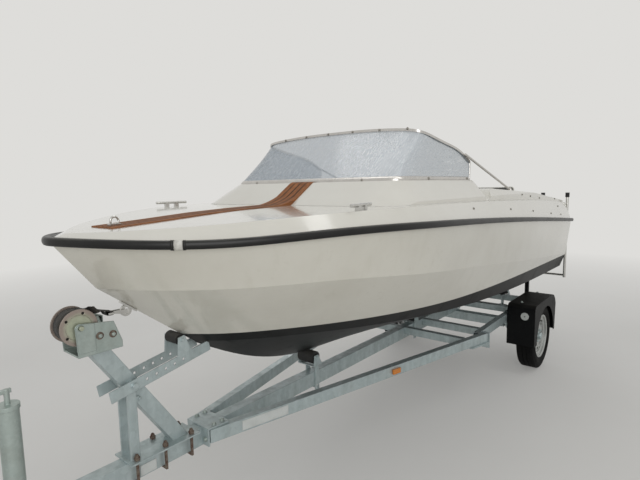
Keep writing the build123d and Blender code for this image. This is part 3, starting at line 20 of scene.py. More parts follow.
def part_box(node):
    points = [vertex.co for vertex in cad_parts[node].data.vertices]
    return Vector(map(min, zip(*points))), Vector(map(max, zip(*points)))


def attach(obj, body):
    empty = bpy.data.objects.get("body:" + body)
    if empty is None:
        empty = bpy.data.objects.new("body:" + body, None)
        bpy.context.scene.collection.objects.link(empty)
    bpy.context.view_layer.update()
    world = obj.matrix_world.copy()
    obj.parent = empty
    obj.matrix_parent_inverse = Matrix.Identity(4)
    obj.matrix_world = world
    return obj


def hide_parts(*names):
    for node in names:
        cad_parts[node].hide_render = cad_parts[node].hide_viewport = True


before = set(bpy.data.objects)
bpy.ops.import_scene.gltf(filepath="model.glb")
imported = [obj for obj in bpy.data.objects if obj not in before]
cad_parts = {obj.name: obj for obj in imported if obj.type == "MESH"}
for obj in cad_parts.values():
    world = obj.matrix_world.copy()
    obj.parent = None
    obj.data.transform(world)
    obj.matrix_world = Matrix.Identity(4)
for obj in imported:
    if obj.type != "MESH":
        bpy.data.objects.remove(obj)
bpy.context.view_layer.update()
LOG = logging.getLogger("speedboat")
TRAILER = "boat_and_trailer"
BOW = 1.804
DRUM_AFT = 0.056
DRUM_AXIS = (BOW - DRUM_AFT, 0.0, 1.079)
WHEEL_CENTRE = (BOW - 3.465, 0.0, 0.268)
UP = Vector((0.0, 0.0, 1.0))
DOWN = -UP
FORE = Vector((1.0, 0.0, 0.0))
AFT = -FORE
PORT = Vector((0.0, 1.0, 0.0))
STARBOARD = -PORT
LOOK_FROM = 1.5
SIDES = (("port", 1), ("starboard", -1))
Pairs = tuple[tuple[float, float], ...]
Triples = tuple[tuple[float, float, float], ...]


def place(s: float, y: float, z: float) -> Vector:
    """Point at s aft of the bow tip, y to port and z above the floor."""
    return Vector((BOW - s, y, z))


def tint(code: str) -> tuple[float, float, float, float]:
    """Linear colour of a hex code.

    Args:
        code: Six hex digits, as a paint card gives them.

    Returns:
        Red, green, blue and alpha as shader sockets take them.
    """
    parts = [int(code[i:i + 2], 16) / 255 for i in (0, 2, 4)]
    linear = [c / 12.92 if c <= 0.04045 else ((c + 0.055) / 1.055) ** 2.4 for c in parts]
    return (linear[0], linear[1], linear[2], 1.0)


class Wiring:
    """Short calls for building one node tree."""

    KINDS = {"Colour": "Color", "Stain": "Color", "Light": "Color", "Dark": "Color", "Normal": "Vector",
             "Points": "Geometry", "Geometry": "Geometry", "Part": "Object", "Material": "Material",
             "Seed": "Int"}

    def __init__(self, tree: bpy.types.NodeTree) -> None:
        """Keeps the tree and empties it."""
        self.tree = tree
        tree.nodes.clear()

    def feed(self, node: bpy.types.Node, sockets: dict[Any, Any]) -> None:
        """Fills a node's inputs, by name or index, with values or with other nodes' outputs.

        Args:
            node: The node to fill.
            sockets: Input name or index to a value or an output socket.
        """
        for key, value in sockets.items():
            if isinstance(value, bpy.types.NodeSocket):
                self.tree.links.new(value, node.inputs[key])
            else:
                node.inputs[key].default_value = value

    def add(self, kind: str, sockets: Optional[dict[Any, Any]] = None, **settings: Any) -> bpy.types.Node:
        """Adds a node, sets its properties and fills its inputs.

        Args:
            kind: Node type name.
            sockets: Input name or index to a value or an output socket.
            **settings: Node properties.

        Returns:
            The new node.
        """
        node = self.tree.nodes.new(kind)
        for name, value in settings.items():
            setattr(node, name, value)
        self.feed(node, sockets or {})
        return node

    def name_sockets(self, way: str, names: Iterable[str]) -> None:
        """Names a group's inputs or outputs, each of the kind in KINDS or else a number.

        Args:
            way: INPUT or OUTPUT.
            names: Socket names.
        """
        for name in names:
            kind = "NodeSocket" + self.KINDS.get(name, "Float")
            self.tree.interface.new_socket(name, in_out=way, socket_type=kind)

    def inputs(self, *names: str) -> Any:
        """Names a group's inputs and returns them to be read."""
        self.name_sockets("INPUT", names)
        return self.add("NodeGroupInput").outputs

    def outputs(self, **results: bpy.types.NodeSocket) -> None:
        """Names a group's outputs and leads a result to each."""
        self.name_sockets("OUTPUT", results)
        self.add("NodeGroupOutput", results)

    def maths(self, operation: str, *values: Any) -> bpy.types.NodeSocket:
        """Output of a maths node on up to three values."""
        return self.add("ShaderNodeMath", dict(enumerate(values)), operation=operation).outputs[0]

    def plus(self, first: Any, second: Any) -> bpy.types.NodeSocket:
        """Sum of two values."""
        return self.maths("ADD", first, second)

    def minus(self, first: Any, second: Any) -> bpy.types.NodeSocket:
        """First value less the second."""
        return self.maths("SUBTRACT", first, second)

    def times(self, first: Any, second: Any) -> bpy.types.NodeSocket:
        """Product of two values."""
        return self.maths("MULTIPLY", first, second)

    def vectors(self, operation: str, *values: Any) -> bpy.types.NodeSocket:
        """Output of a vector maths node, a number for a length or a dot product."""
        node = self.add("ShaderNodeVectorMath", dict(enumerate(values)), operation=operation)
        return node.outputs["Value" if operation in ("LENGTH", "DOT_PRODUCT") else "Vector"]

    def split(self, vector: Any) -> Any:
        """X, Y and Z of a vector, as three outputs."""
        return self.add("ShaderNodeSeparateXYZ", {0: vector}).outputs

    def where(self) -> bpy.types.NodeSocket:
        """Place on the object."""
        return self.add("ShaderNodeTexCoord").outputs["Object"]

    def facing(self) -> bpy.types.NodeSocket:
        """Way that the surface faces."""
        return self.add("ShaderNodeNewGeometry").outputs["Normal"]

    def radius(self, place_from_axis: Any) -> bpy.types.NodeSocket:
        """Distance from an axis that runs across the boat, from a split place."""
        squares = [self.maths("POWER", place_from_axis[i], 2.0) for i in (0, 2)]
        return self.maths("SQRT", self.plus(*squares))

    def band(self, value: Any, low: float, high: float) -> bpy.types.NodeSocket:
        """Value stretched so that low becomes 0 and high becomes 1, and held between them."""
        return self.add("ShaderNodeMapRange", {0: value, 1: low, 2: high, 3: 0.0, 4: 1.0}).outputs[0]

    def blend(self, share: Any, first: Any, second: Any) -> bpy.types.NodeSocket:
        """Colour mixed from first to second by share."""
        return self.add("ShaderNodeMix", {0: share, 6: first, 7: second}, data_type="RGBA").outputs[2]

    def fade(self, share: Any, first: Any, second: Any) -> bpy.types.NodeSocket:
        """Value mixed from first to second by share."""
        return self.add("ShaderNodeMix", {0: share, 2: first, 3: second}, data_type="FLOAT").outputs[0]

    def noise(self, where: Any, scale: Any, detail: float = 4.0, rough: float = 0.55) -> bpy.types.NodeSocket:
        """Cloudy noise at a place."""
        return self.add("ShaderNodeTexNoise", {
            "Vector": where, "Scale": scale, "Detail": detail, "Roughness": rough}).outputs[0]

    def bump(self, strength: Any, distance: Any, height: Any, **more: Any) -> bpy.types.NodeSocket:
        """Normal bent by a height."""
        return self.add("ShaderNodeBump", {
            "Strength": strength, "Distance": distance, "Height": height, **more}).outputs[0]


class Effect(Wiring):
    """A shader group that several finishes share, built once by the method of its name."""

    DUST = "B3AEA3"
    PORE = "3A1D10"
    COIL_ARC = 0.046
    TURN_WAVES = 3700.0
    made: dict[str, bpy.types.NodeTree] = {}

    @classmethod
    def get(cls, name: str) -> bpy.types.NodeTree:
        """The named group, built at its first use.

        Args:
            name: Name of the method that builds it.

        Returns:
            The group.
        """
        if name not in cls.made:
            effect = cls(bpy.data.node_groups.new(name, "ShaderNodeTree"))
            getattr(effect, name)()
            cls.made[name] = effect.tree
        return cls.made[name]

    def patina(self) -> None:
        """Cloudy stains, fine speckle and settled dust over a base colour."""
        into = self.inputs("Colour", "Stain", "Amount", "Scale", "Dust")
        where = self.where()
        clouds = self.band(self.noise(where, into["Scale"], 5.0, 0.6), 0.45, 0.75)
        cloudy = self.times(clouds, into["Amount"])
        specks = self.band(self.noise(where, self.times(into["Scale"], 14.0), 3.0), 0.60, 0.78)
        speckle = self.times(self.times(specks, into["Amount"]), 0.6)
        stained = self.blend(self.maths("MAXIMUM", cloudy, speckle), into["Colour"], into["Stain"])
        level = self.times(self.band(self.split(self.facing())[2], 0.35, 1.0), into["Dust"])
        settled = self.times(level, self.band(self.noise(where, 9.0), 0.25, 0.7))
        self.outputs(Colour=self.blend(settled, stained, tint(self.DUST)), Mask=self.plus(cloudy, settled))

    def grain(self) -> None:
        """Fine surface relief: moulding ripple, leather grain or cast skin."""
        into = self.inputs("Scale", "Strength", "Depth", "Cells")
        eased = self.add("ShaderNodeBevel", {"Radius": 0.004}, samples=4).outputs[0]
        where = self.where()
        cell = self.add("ShaderNodeTexVoronoi", {"Vector": where, "Scale": into["Scale"]}).outputs[0]
        height = self.fade(into["Cells"], self.noise(where, into["Scale"], 3.0), cell)
        self.outputs(Normal=self.bump(into["Strength"], into["Depth"], height, Normal=eased))

    def spangle(self) -> None:
        """Zinc crystals and run marks of hot-dip galvanised steel."""
        into = self.inputs("Light", "Dark", "Scale", "Contrast")
        where = self.where()
        crystals = self.add("ShaderNodeTexVoronoi", {"Vector": where, "Scale": into["Scale"]})
        shade = self.add("ShaderNodeSeparateColor", {0: crystals.outputs["Color"]}).outputs[0]
        stretched = self.vectors("MULTIPLY", where, (1.0, 1.0, 0.22))
        runs = self.band(self.noise(stretched, 26.0), 0.35, 0.7)
        weight = self.times(self.plus(self.times(shade, 0.45), self.times(runs, 0.75)), into["Contrast"])
        self.outputs(Colour=self.blend(weight, into["Light"], into["Dark"]),
                     Roughness=self.plus(0.36, self.times(weight, 0.4)))

    def timber(self) -> None:
        """Straight-grained oiled timber with pores along X and a tone of its own for each plank."""
        into = self.inputs("Light", "Dark", "Plank")
        where = self.where()
        plank = self.maths("FLOOR", self.maths("DIVIDE", self.split(where)[1], into["Plank"]))
        shift = self.add("ShaderNodeCombineXYZ", {0: self.times(plank, 3.7), 2: plank}).outputs[0]
        shifted = self.vectors("ADD", where, shift)
        figure = self.noise(self.vectors("MULTIPLY", shifted, (1.3, 60.0, 60.0)), 1.6, 6.0, 0.62)
        pores = self.vectors("MULTIPLY", shifted, (14.0, 700.0, 700.0))
        pore = self.band(self.noise(pores, 1.0, 2.0), 0.56, 0.7)
        chance = self.add("ShaderNodeTexWhiteNoise", {"W": plank}, noise_dimensions="1D").outputs[0]
        tone = self.minus(self.times(chance, 0.25), 0.1)
        body = self.blend(self.plus(self.band(figure, 0.32, 0.72), tone), into["Light"], into["Dark"])
        self.outputs(Colour=self.blend(self.times(pore, 0.5), body, tint(self.PORE)),
                     Height=self.minus(self.times(figure, 0.5), pore))

    def weave(self) -> None:
        """Flat webbing ribbed across Y, wound about the winch drum, the edges of its turns at the sides;
        painted darker in its grooves as painted shade.
        """
        into = self.inputs("Threads", "Light", "Dark")
        local = self.split(self.vectors("SUBTRACT", self.where(), DRUM_AXIS))
        radius = self.radius(local)
        round_drum = self.times(self.maths("ARCTAN2", local[2], local[0]), self.COIL_ARC)
        along = self.maths("SINE", self.times(self.plus(radius, round_drum), into["Threads"]))
        across = self.maths("SINE", self.times(local[1], into["Threads"]))
        cloth = self.band(self.times(across, along), -1.0, 1.0)
        turns = self.band(self.maths("SINE", self.times(radius, self.TURN_WAVES)), -0.7, 0.5)
        flank = self.maths("GREATER_THAN", self.maths("ABSOLUTE", self.split(self.facing())[1]), 0.9)
        height = self.fade(flank, cloth, turns)
        # Painted shade: the colour follows the height, darker in the grooves between threads and between the
        # wound turns.
        self.outputs(Colour=self.blend(height, into["Dark"], into["Light"]), Height=height)


class Coating(Wiring):
    """The nodes of one material round a single shader, with a method for each kind of surface."""

    COAT_ROUGHNESS = 0.08
    PLANK_WIDTH = 0.04
    WATERLINE = (0.0172, 0.9150)
    SHEET_INDEX = 1.49
    SIPES = 64.0
    TREAD_MIDDLE = 0.637

    def __init__(self, tree: bpy.types.NodeTree, look: "Finish") -> None:
        """Sets the shader's own sockets and leads it to the surface.

        Args:
            tree: The material's nodes.
            look: The finish that it gets.
        """
        super().__init__(tree)
        self.look = look
        self.first, self.second = tint(look.colour), tint(look.second)
        self.shader = self.add("ShaderNodeBsdfPrincipled", {
            "Roughness": look.roughness, "Metallic": look.metallic, "Coat Weight": look.coat,
            "Sheen Weight": look.sheen, "Coat Roughness": self.COAT_ROUGHNESS,
            "Specular IOR Level": look.shine})
        self.add("ShaderNodeOutputMaterial", {"Surface": self.shader.outputs[0]})

    def lead(self, name: str, value: bpy.types.NodeSocket) -> None:
        """Leads a value to one of the shader's inputs."""
        self.feed(self.shader, {name: value})

    def effect(self, name: str, **sockets: Any) -> Any:
        """Outputs of a shared effect, placed with values of its own."""
        return self.add("ShaderNodeGroup", sockets, node_tree=Effect.get(name)).outputs

    def worn(self, base: Any, stain: str) -> Any:
        """Stains and dust over a base colour, as outputs named Colour and Mask."""
        return self.effect("patina", Colour=base, Stain=tint(stain), Amount=self.look.stain,
                           Scale=self.look.scale, Dust=self.look.dust)

    def aged(self, base: Any, stain: str) -> bpy.types.NodeSocket:
        """Colours the surface with a base under stains and dust, and returns where they lie.

        Args:
            base: Colour under the dirt.
            stain: Hex code of the stains.

        Returns:
            A mask of the stains and dust.
        """
        worn = self.worn(base, stain)
        self.lead("Base Color", worn["Colour"])
        return worn["Mask"]

    def roughen(self, mask: bpy.types.NodeSocket, gain: float = 0.35) -> None:
        """Makes the surface duller where the mask is high."""
        self.lead("Roughness", self.plus(self.look.roughness, self.times(mask, gain)))

    def relieve(self) -> None:
        """Gives the surface this finish's fine relief."""
        grain = self.effect("grain", Scale=self.look.grain, Strength=self.look.relief, Depth=self.look.depth,
                            Cells=self.look.cells)
        self.lead("Normal", grain["Normal"])

    def moulded(self) -> None:
        """Plastic, rubber, paint, vinyl or gelcoat."""
        self.roughen(self.aged(self.first, self.look.second))
        self.relieve()

    def zinc(self) -> None:
        """Galvanised or plated steel."""
        metal = self.effect("spangle", Light=self.first, Dark=self.second, Scale=self.look.grain,
                            Contrast=self.look.relief)
        self.aged(metal["Colour"], "6A5B48")
        self.lead("Roughness", metal["Roughness"])
        fine = self.effect("grain", Scale=260.0, Strength=0.12, Depth=0.0005, Cells=0.0)
        self.lead("Normal", fine["Normal"])

    def flange(self) -> None:
        """Passivated zinc of the winch drum, greenish at the middle and pinkish towards its rim."""
        local = self.vectors("SUBTRACT", self.where(), DRUM_AXIS)
        drift = self.times(self.noise(local, 40.0, 3.0), 0.014)
        share = self.band(self.plus(self.radius(self.split(local)), drift), 0.044, 0.062)
        tone = self.blend(share, self.first, self.second)
        self.roughen(self.aged(tone, "6F6A55"))
        self.relieve()

    def timber(self) -> None:
        """Oiled deck planks."""
        wood = self.effect("timber", Light=self.first, Dark=self.second, Plank=self.PLANK_WIDTH)
        self.roughen(self.aged(wood["Colour"], "6B4A35"))
        self.lead("Normal", self.bump(self.look.relief, self.look.depth, wood["Height"]))

    def webbing(self) -> None:
        """Woven strap, with painted shade in the grooves of its weave and between its turns."""
        cloth = self.effect("weave", Threads=self.look.grain, Light=self.first, Dark=self.second)
        self.aged(cloth["Colour"], "5A5145")
        self.lead("Normal", self.bump(self.look.relief, self.look.depth, cloth["Height"]))

    def rust(self) -> None:
        """Rusted steel with some plating left."""
        where = self.where()
        plated = self.band(self.noise(where, self.look.scale, 6.0, 0.7), 0.38, 0.62)
        scaly = self.noise(where, self.look.scale * 9, 4.0, 0.7)
        brown = self.blend(self.band(scaly, 0.3, 0.7), self.first, self.second)
        self.lead("Base Color", self.blend(plated, brown, tint("8A7F73")))
        self.lead("Metallic", self.times(plated, 0.6))
        self.lead("Normal", self.bump(0.5, 0.0012, scaly))

    def hull(self) -> None:
        """White gelcoat over black bottom paint, split at the painted waterline on the outside alone."""
        where = self.where()
        along = self.split(where)
        rise, height = self.WATERLINE
        line = self.plus(self.times(along[0], rise), height)
        below = self.band(self.minus(line, along[2]), -0.0008, 0.0008)
        from_inside = self.vectors("SUBTRACT", where, (0.0, 0.0, 1.5))
        outward = self.vectors("DOT_PRODUCT", self.facing(), from_inside)
        painted = self.times(below, self.maths("GREATER_THAN", outward, 0.0))
        scuff = self.times(self.band(self.noise(where, 7.0, 6.0, 0.65), 0.52, 0.8), 0.35)
        white = self.worn(self.first, "A79F8B")
        tall = self.vectors("MULTIPLY", where, (14.0, 14.0, 0.9))
        streak = self.times(self.band(self.noise(tall, 1.0, 5.0, 0.6), 0.55, 0.85), 0.22)
        sides = self.blend(streak, white["Colour"], tint("B9B3A2"))
        bottom = self.blend(scuff, self.second, tint("2A2B2A"))
        self.lead("Base Color", self.blend(painted, sides, bottom))
        self.roughen(self.plus(self.times(painted, 0.25), self.times(streak, 0.6)), 1.0)
        self.lead("Coat Weight", self.times(self.minus(1.0, painted), self.look.coat))
        self.relieve()

    def clear(self) -> None:
        """Old clear sheet, hazed and finely scratched."""
        where = self.where()
        haze = self.noise(where, 3.5, 5.0, 0.6)
        scratch = 0.0
        for turn in ((0.5, 0.4, 0.9), (-0.3, 0.8, -0.5), (0.9, -0.4, 0.2)):
            slant = self.add("ShaderNodeMapping", {
                "Vector": where, "Rotation": turn, "Scale": (7.0, 170.0, 34.0)}).outputs[0]
            line = self.band(self.noise(slant, 1.0, 4.0, 0.7), 0.57, 0.74)
            scratch = self.maths("MAXIMUM", scratch, line)
        patch = self.times(self.band(self.noise(where, 2.1, 2.0, 0.4), 0.38, 0.62), 0.75)
        rubbed = self.times(scratch, self.plus(0.25, patch))
        rough = self.plus(self.times(haze, 0.16), self.times(rubbed, 0.25))
        veil = self.plus(self.times(haze, 0.22), self.times(rubbed, 0.40))
        cloudy = self.blend(haze, self.first, self.second)
        self.lead("Roughness", self.plus(rough, self.look.roughness))
        self.lead("Base Color", self.blend(rubbed, cloudy, tint("F2F5F6")))
        self.lead("Alpha", self.plus(0.32, veil))
        self.shader.inputs["IOR"].default_value = self.SHEET_INDEX

    def tyre(self) -> None:
        """Tyre rubber, with sipes across the tread and a greyed sidewall; the sipes are also painted darker,
        as painted shade in the cuts.
        """
        local = self.split(self.vectors("SUBTRACT", self.where(), WHEEL_CENTRE))
        radius = self.radius(local)
        angle = self.maths("ARCTAN2", local[2], local[0])
        off_middle = self.minus(self.maths("ABSOLUTE", local[1]), self.TREAD_MIDDLE)
        skew = self.times(self.maths("ABSOLUTE", off_middle), 60.0)
        sipe = self.band(self.maths("SINE", self.plus(self.times(angle, self.SIPES), skew)), 0.55, 0.9)
        cut = self.times(sipe, self.band(radius, 0.2625, 0.2655))
        ring = self.band(self.maths("SINE", self.times(radius, 900.0)), 0.6, 1.0)
        side = self.times(self.times(ring, self.band(radius, 0.198, 0.2)),
                          self.minus(1.0, self.band(radius, 0.236, 0.238)))
        worn = self.worn(self.first, self.look.second)
        # Painted shade: the base colour is darkened towards near-black inside the sipe cuts.
        self.lead("Base Color", self.blend(self.times(cut, 0.8), worn["Colour"], tint("050505")))
        self.lead("Normal", self.bump(0.7, 0.002, self.minus(self.times(side, 0.35), cut)))

    def brushed(self) -> None:
        """Polished or brushed metal with fine marks and a little haze."""
        fine = self.band(self.noise(self.where(), self.look.grain, 4.0, 0.7), 0.4, 0.8)
        self.aged(self.first, self.look.second)
        self.roughen(self.times(fine, 0.5))


class Surface(Enum):
    """Kinds of surface that a finish can have, by the name of the method that builds each."""

    MOULDED = "moulded"
    ZINC = "zinc"
    TIMBER = "timber"
    WEBBING = "webbing"
    RUST = "rust"
    HULL = "hull"
    CLEAR = "clear"
    TYRE = "tyre"
    BRUSHED = "brushed"
    FLANGE = "flange"


@dataclass(frozen=True)
class Finish:
    """One finish of the boat or the trailer."""

    made: ClassVar[dict[str, bpy.types.Material]] = {}

    name: str
    colour: str
    second: str = "4A463C"
    surface: Surface = Surface.MOULDED
    roughness: float = 0.4
    metallic: float = 0.0
    coat: float = 0.0
    sheen: float = 0.0
    stain: float = 0.15
    scale: float = 4.0
    dust: float = 0.1
    grain: float = 200.0
    relief: float = 0.15
    depth: float = 0.0006
    cells: float = 0.0
    shine: float = 0.5

    def material(self) -> bpy.types.Material:
        """The finish as a material, built at its first use.

        Returns:
            The material, the same one at each call.
        """
        if self.name not in self.made:
            made = self.made[self.name] = bpy.data.materials.new(self.name + "_finish")
            made.use_nodes = True
            getattr(Coating(made.node_tree, self), self.surface.value)()
        return self.made[self.name]


GELCOAT_HULL = Finish("hull_gelcoat", "DAD7CC", "080909", Surface.HULL, roughness=0.16, coat=0.7, stain=0.22,
                      scale=2.2, dust=0.0, grain=5.0, relief=0.04, depth=0.004, shine=0.16)
GELCOAT_DECK = Finish("deck_gelcoat", "DEDBD1", "A8A08D", roughness=0.14, coat=0.8, stain=0.16, scale=3.0,
                      grain=4.0, relief=0.05, depth=0.004)
RUB_RUBBER = Finish("rub_rail_rubber", "0D0D0D", "32312F", roughness=0.36, stain=0.25, scale=9.0, dust=0.12,
                    grain=300.0, shine=0.4)
SEALANT = Finish("sealant", "DCDAD2", "A9A494", roughness=0.35, stain=0.3, scale=30.0)
RAIL_CORE = Finish("rail_core", "D9D7D0", "7E7B74", stain=0.5, scale=60.0, grain=300.0)
TEAK = Finish("teak", "A1673B", "6F4529", Surface.TIMBER, roughness=0.62, stain=0.12, scale=6.0, dust=0.0,
              relief=0.4, shine=0.25)
CAULK = Finish("caulking", "0B0706", "1C1410", roughness=0.6, stain=0.2, scale=20.0, shine=0.2)
SCREEN = Finish("screen_sheet", "9AA6B0", "C3CBD2", Surface.CLEAR, roughness=0.05)
SCREEN_METAL = Finish("screen_metal", "CFCCC8", "8A8683", Surface.BRUSHED, roughness=0.22, metallic=0.9,
                      stain=0.2, scale=14.0, dust=0.05, grain=400.0)
STAINLESS = Finish("stainless", "C9C8C4", "7C7770", Surface.BRUSHED, roughness=0.18, metallic=1.0, stain=0.2,
                   scale=18.0, dust=0.05, grain=600.0)
SOLE = Finish("sole_cloth", "8A8880", "55534C", roughness=0.85, stain=0.4, scale=6.0, grain=900.0, relief=0.6,
              depth=0.001, sheen=0.2)
PAD_PLY = Finish("motor_pad_sheet", "3A3B3C", "77736B", roughness=0.5, stain=0.3, scale=12.0, grain=260.0,
                 relief=0.3)
DASH = Finish("dash_panel", "D2CFC5", "8A8576", roughness=0.3, coat=0.3, scale=5.0, grain=150.0)
HELM = Finish("helm_rim", "141414", "3A3836", stain=0.2, scale=20.0, grain=700.0, relief=0.3, cells=0.6)
VINYL = Finish("black_vinyl", "171717", "3D3B38", roughness=0.42, coat=0.15, stain=0.25, scale=8.0, dust=0.12,
               grain=620.0, relief=0.35, depth=0.0005, cells=0.7)
STUD_METAL = Finish("stud_metal", "8F8B84", "3B3732", Surface.BRUSHED, roughness=0.3, metallic=0.9, stain=0.4,
                    scale=60.0, grain=900.0)
THREAD = Finish("grey_thread", "6A6862", "3A3936", roughness=0.7, stain=0.2, scale=40.0, grain=900.0)
PIPING = Finish("white_piping", "D8D5CB", "98927F", roughness=0.38, stain=0.2, scale=20.0)
RUBBER = Finish("black_rubber", "121212", "47443F", roughness=0.62, stain=0.3, scale=18.0, dust=0.15,
                grain=420.0)
ZINC = Finish("galvanised", "BECACB", "94A1A1", Surface.ZINC, metallic=0.55, stain=0.12, scale=7.0,
              grain=55.0, relief=0.5)
FLANGE = Finish("drum_zinc", "B3B8A2", "A0938A", Surface.FLANGE, roughness=0.36, metallic=0.45, stain=0.25,
                scale=40.0, dust=0.0, grain=240.0)
PLATE = Finish("zinc_plate", "B2BDB8", "8D9994", Surface.ZINC, metallic=0.7, stain=0.18, scale=16.0,
               dust=0.08, grain=120.0, relief=0.4)
LABEL = Finish("blank_label", "CDD0CD", "9A9C97", roughness=0.35, stain=0.3, scale=18.0, grain=500.0)
LENS = Finish("marker_lens", "D8801C", "8A4A10", roughness=0.18, coat=0.5, scale=30.0, grain=900.0,
              relief=0.5, cells=1.0)
BLACK_PLASTIC = Finish("black_plastic", "0A0B0C", "262523", roughness=0.46, stain=0.2, scale=7.0, dust=0.06,
                       grain=520.0, relief=0.3, cells=0.5, shine=0.12)
RUSTY = Finish("rusty_steel", "5A2F1D", "2E1B14", Surface.RUST, roughness=0.8, scale=60.0)
# The second colour is the painted shade in the weave's grooves and between the wound turns.
WEBBING = Finish("webbing", "221E1A", "0B0A09", Surface.WEBBING, roughness=0.8, stain=0.35, scale=20.0,
                 grain=2600.0, relief=0.6, depth=0.0008, sheen=0.1)
REFLECTOR = Finish("reflector", "B9BCB8", "8E8F8B", roughness=0.12, coat=0.9, stain=0.1, scale=30.0,
                   grain=420.0, relief=0.7, depth=0.001, cells=1.0)
RIM_SILVER = Finish("rim_silver", "BFC1BF", "6E6B63", Surface.BRUSHED, roughness=0.34, metallic=0.75,
                    stain=0.3, scale=12.0, grain=300.0)
TYRE = Finish("tyre_rubber", "090909", "24221F", Surface.TYRE, roughness=0.74, stain=0.22, scale=9.0,
              dust=0.03, shine=0.15)

NODE_FINISHES: dict[Finish, tuple[str, ...]] = {
    GELCOAT_HULL: ("hull_shell",),
    GELCOAT_DECK: ("deck_moulding", "coaming_moulding", "aft_deck", "aft_coaming", "motor_well",
                   "seat_bases"),
    RUB_RUBBER: ("rub_rail",),
    TEAK: ("foredeck_planks",),
    SCREEN: ("windscreen_pane",),
    SCREEN_METAL: ("windscreen_frame",),
    SOLE: ("cockpit_sole",),
    PAD_PLY: ("motor_pad",),
    STAINLESS: ("bow_ring", "stem_eye", "deck_cleats", "boarding_ladder", "winch_hook"),
    DASH: ("dashboard",),
    HELM: ("steering_wheel",),
    RUBBER: ("ladder_knobs", "bow_roller", "hull_rollers", "jockey_wheel"),
    ZINC: ("centre_beam", "side_beams", "cross_tubes", "frame_clamps", "axle_beam", "axle_arms",
           "mudguard_brackets", "roller_brackets", "coupling_head", "winch_post", "bow_support", "hub_port",
           "hub_starboard"),
    LABEL: ("frame_labels",),
    LENS: ("side_markers",),
    BLACK_PLASTIC: ("coupling_handle", "side_posts", "mudguards"),
    RUSTY: ("u_bolts",),
    PLATE: ("winch_frame", "winch_crank", "jockey_sleeve", "jockey_tube", "jockey_fork"),
    FLANGE: ("winch_drum",),
    WEBBING: ("winch_coil", "winch_strap"),
    REFLECTOR: ("reflectors",),
    RIM_SILVER: ("rim_port", "rim_starboard"),
    TYRE: ("tyre_port", "tyre_starboard"),
    VINYL: ("front_cushions", "rear_cushions", "front_seat_backs", "rear_seat_backs"),
}


def dress_nodes() -> None:
    """Gives every CAD node its finish."""
    for finish, names in NODE_FINISHES.items():
        for name in names:
            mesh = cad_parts[name].data
            mesh.materials.clear()
            mesh.materials.append(finish.material())
    LOG.info("dressed %d nodes", sum(len(names) for names in NODE_FINISHES.values()))


def skin_of(mesh: bpy.types.Mesh) -> BVHTree:
    """Search tree over a mesh's faces."""
    return BVHTree.FromPolygons([v.co for v in mesh.vertices], [f.vertices for f in mesh.polygons])


class Skins:
    """Surfaces, by name, on which the small pieces are seated."""

    trees: dict[str, BVHTree] = {}

    @classmethod
    def of(cls, name: str) -> BVHTree:
        """Search tree of a surface; that of a CAD node is built at its first use.

        Args:
            name: Name of a CAD node or of an added surface.

        Returns:
            The tree.
        """
        if name not in cls.trees:
            cls.trees[name] = skin_of(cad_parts[name].data)
        return cls.trees[name]

    @classmethod
    def hit(cls, names: Iterable[str], start: Vector, way: Vector) -> Optional[tuple[Vector, Vector]]:
        """First place where a line meets one of the surfaces, with the way that its face points.

        Args:
            names: Names of the surfaces.
            start: Where the line starts.
            way: Which way it goes.

        Returns:
            The place and the way of the face, or None.
        """
        hits = [h for h in (cls.of(name).ray_cast(start, way) for name in names) if h[0] is not None]
        if not hits:
            return None
        spot, normal, _, _ = min(hits, key=lambda h: h[3])
        return spot, normal


def shown(name: str, data: Any) -> bpy.types.Object:
    """New object in the scene.

    Args:
        name: Its name.
        data: Its mesh, lamp or camera.

    Returns:
        The object, at the origin.
    """
    made = bpy.data.objects.new(name, data)
    bpy.context.scene.collection.objects.link(made)
    return made


def applied(made: bpy.types.Object) -> bpy.types.Mesh:
    """The object's mesh with its modifiers applied; the object is dropped.

    Args:
        made: An object with modifiers.

    Returns:
        A plain mesh.
    """
    bpy.context.view_layer.update()
    mesh = bpy.data.meshes.new_from_object(made.evaluated_get(bpy.context.evaluated_depsgraph_get()))
    bpy.data.objects.remove(made)
    return mesh


def settle(name: str, mesh: bpy.types.Mesh, finish: Finish, body: str = TRAILER,
           smooth: bool = True) -> bpy.types.Object:
    """Puts a finished mesh in the scene as a piece of the object.

    Args:
        name: Name of the piece.
        mesh: Mesh in the row frame.
        finish: Its finish.
        body: The body that it rides on.
        smooth: Whether its faces are shaded smooth.

    Returns:
        The piece.
    """
    mesh.name = name
    mesh.materials.clear()
    mesh.materials.append(finish.material())
    mesh.polygons.foreach_set("use_smooth", [smooth] * len(mesh.polygons))
    made = shown(name, mesh)
    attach(made, body)
    LOG.info("%s: %d faces on %s", name, len(mesh.polygons), body)
    return made


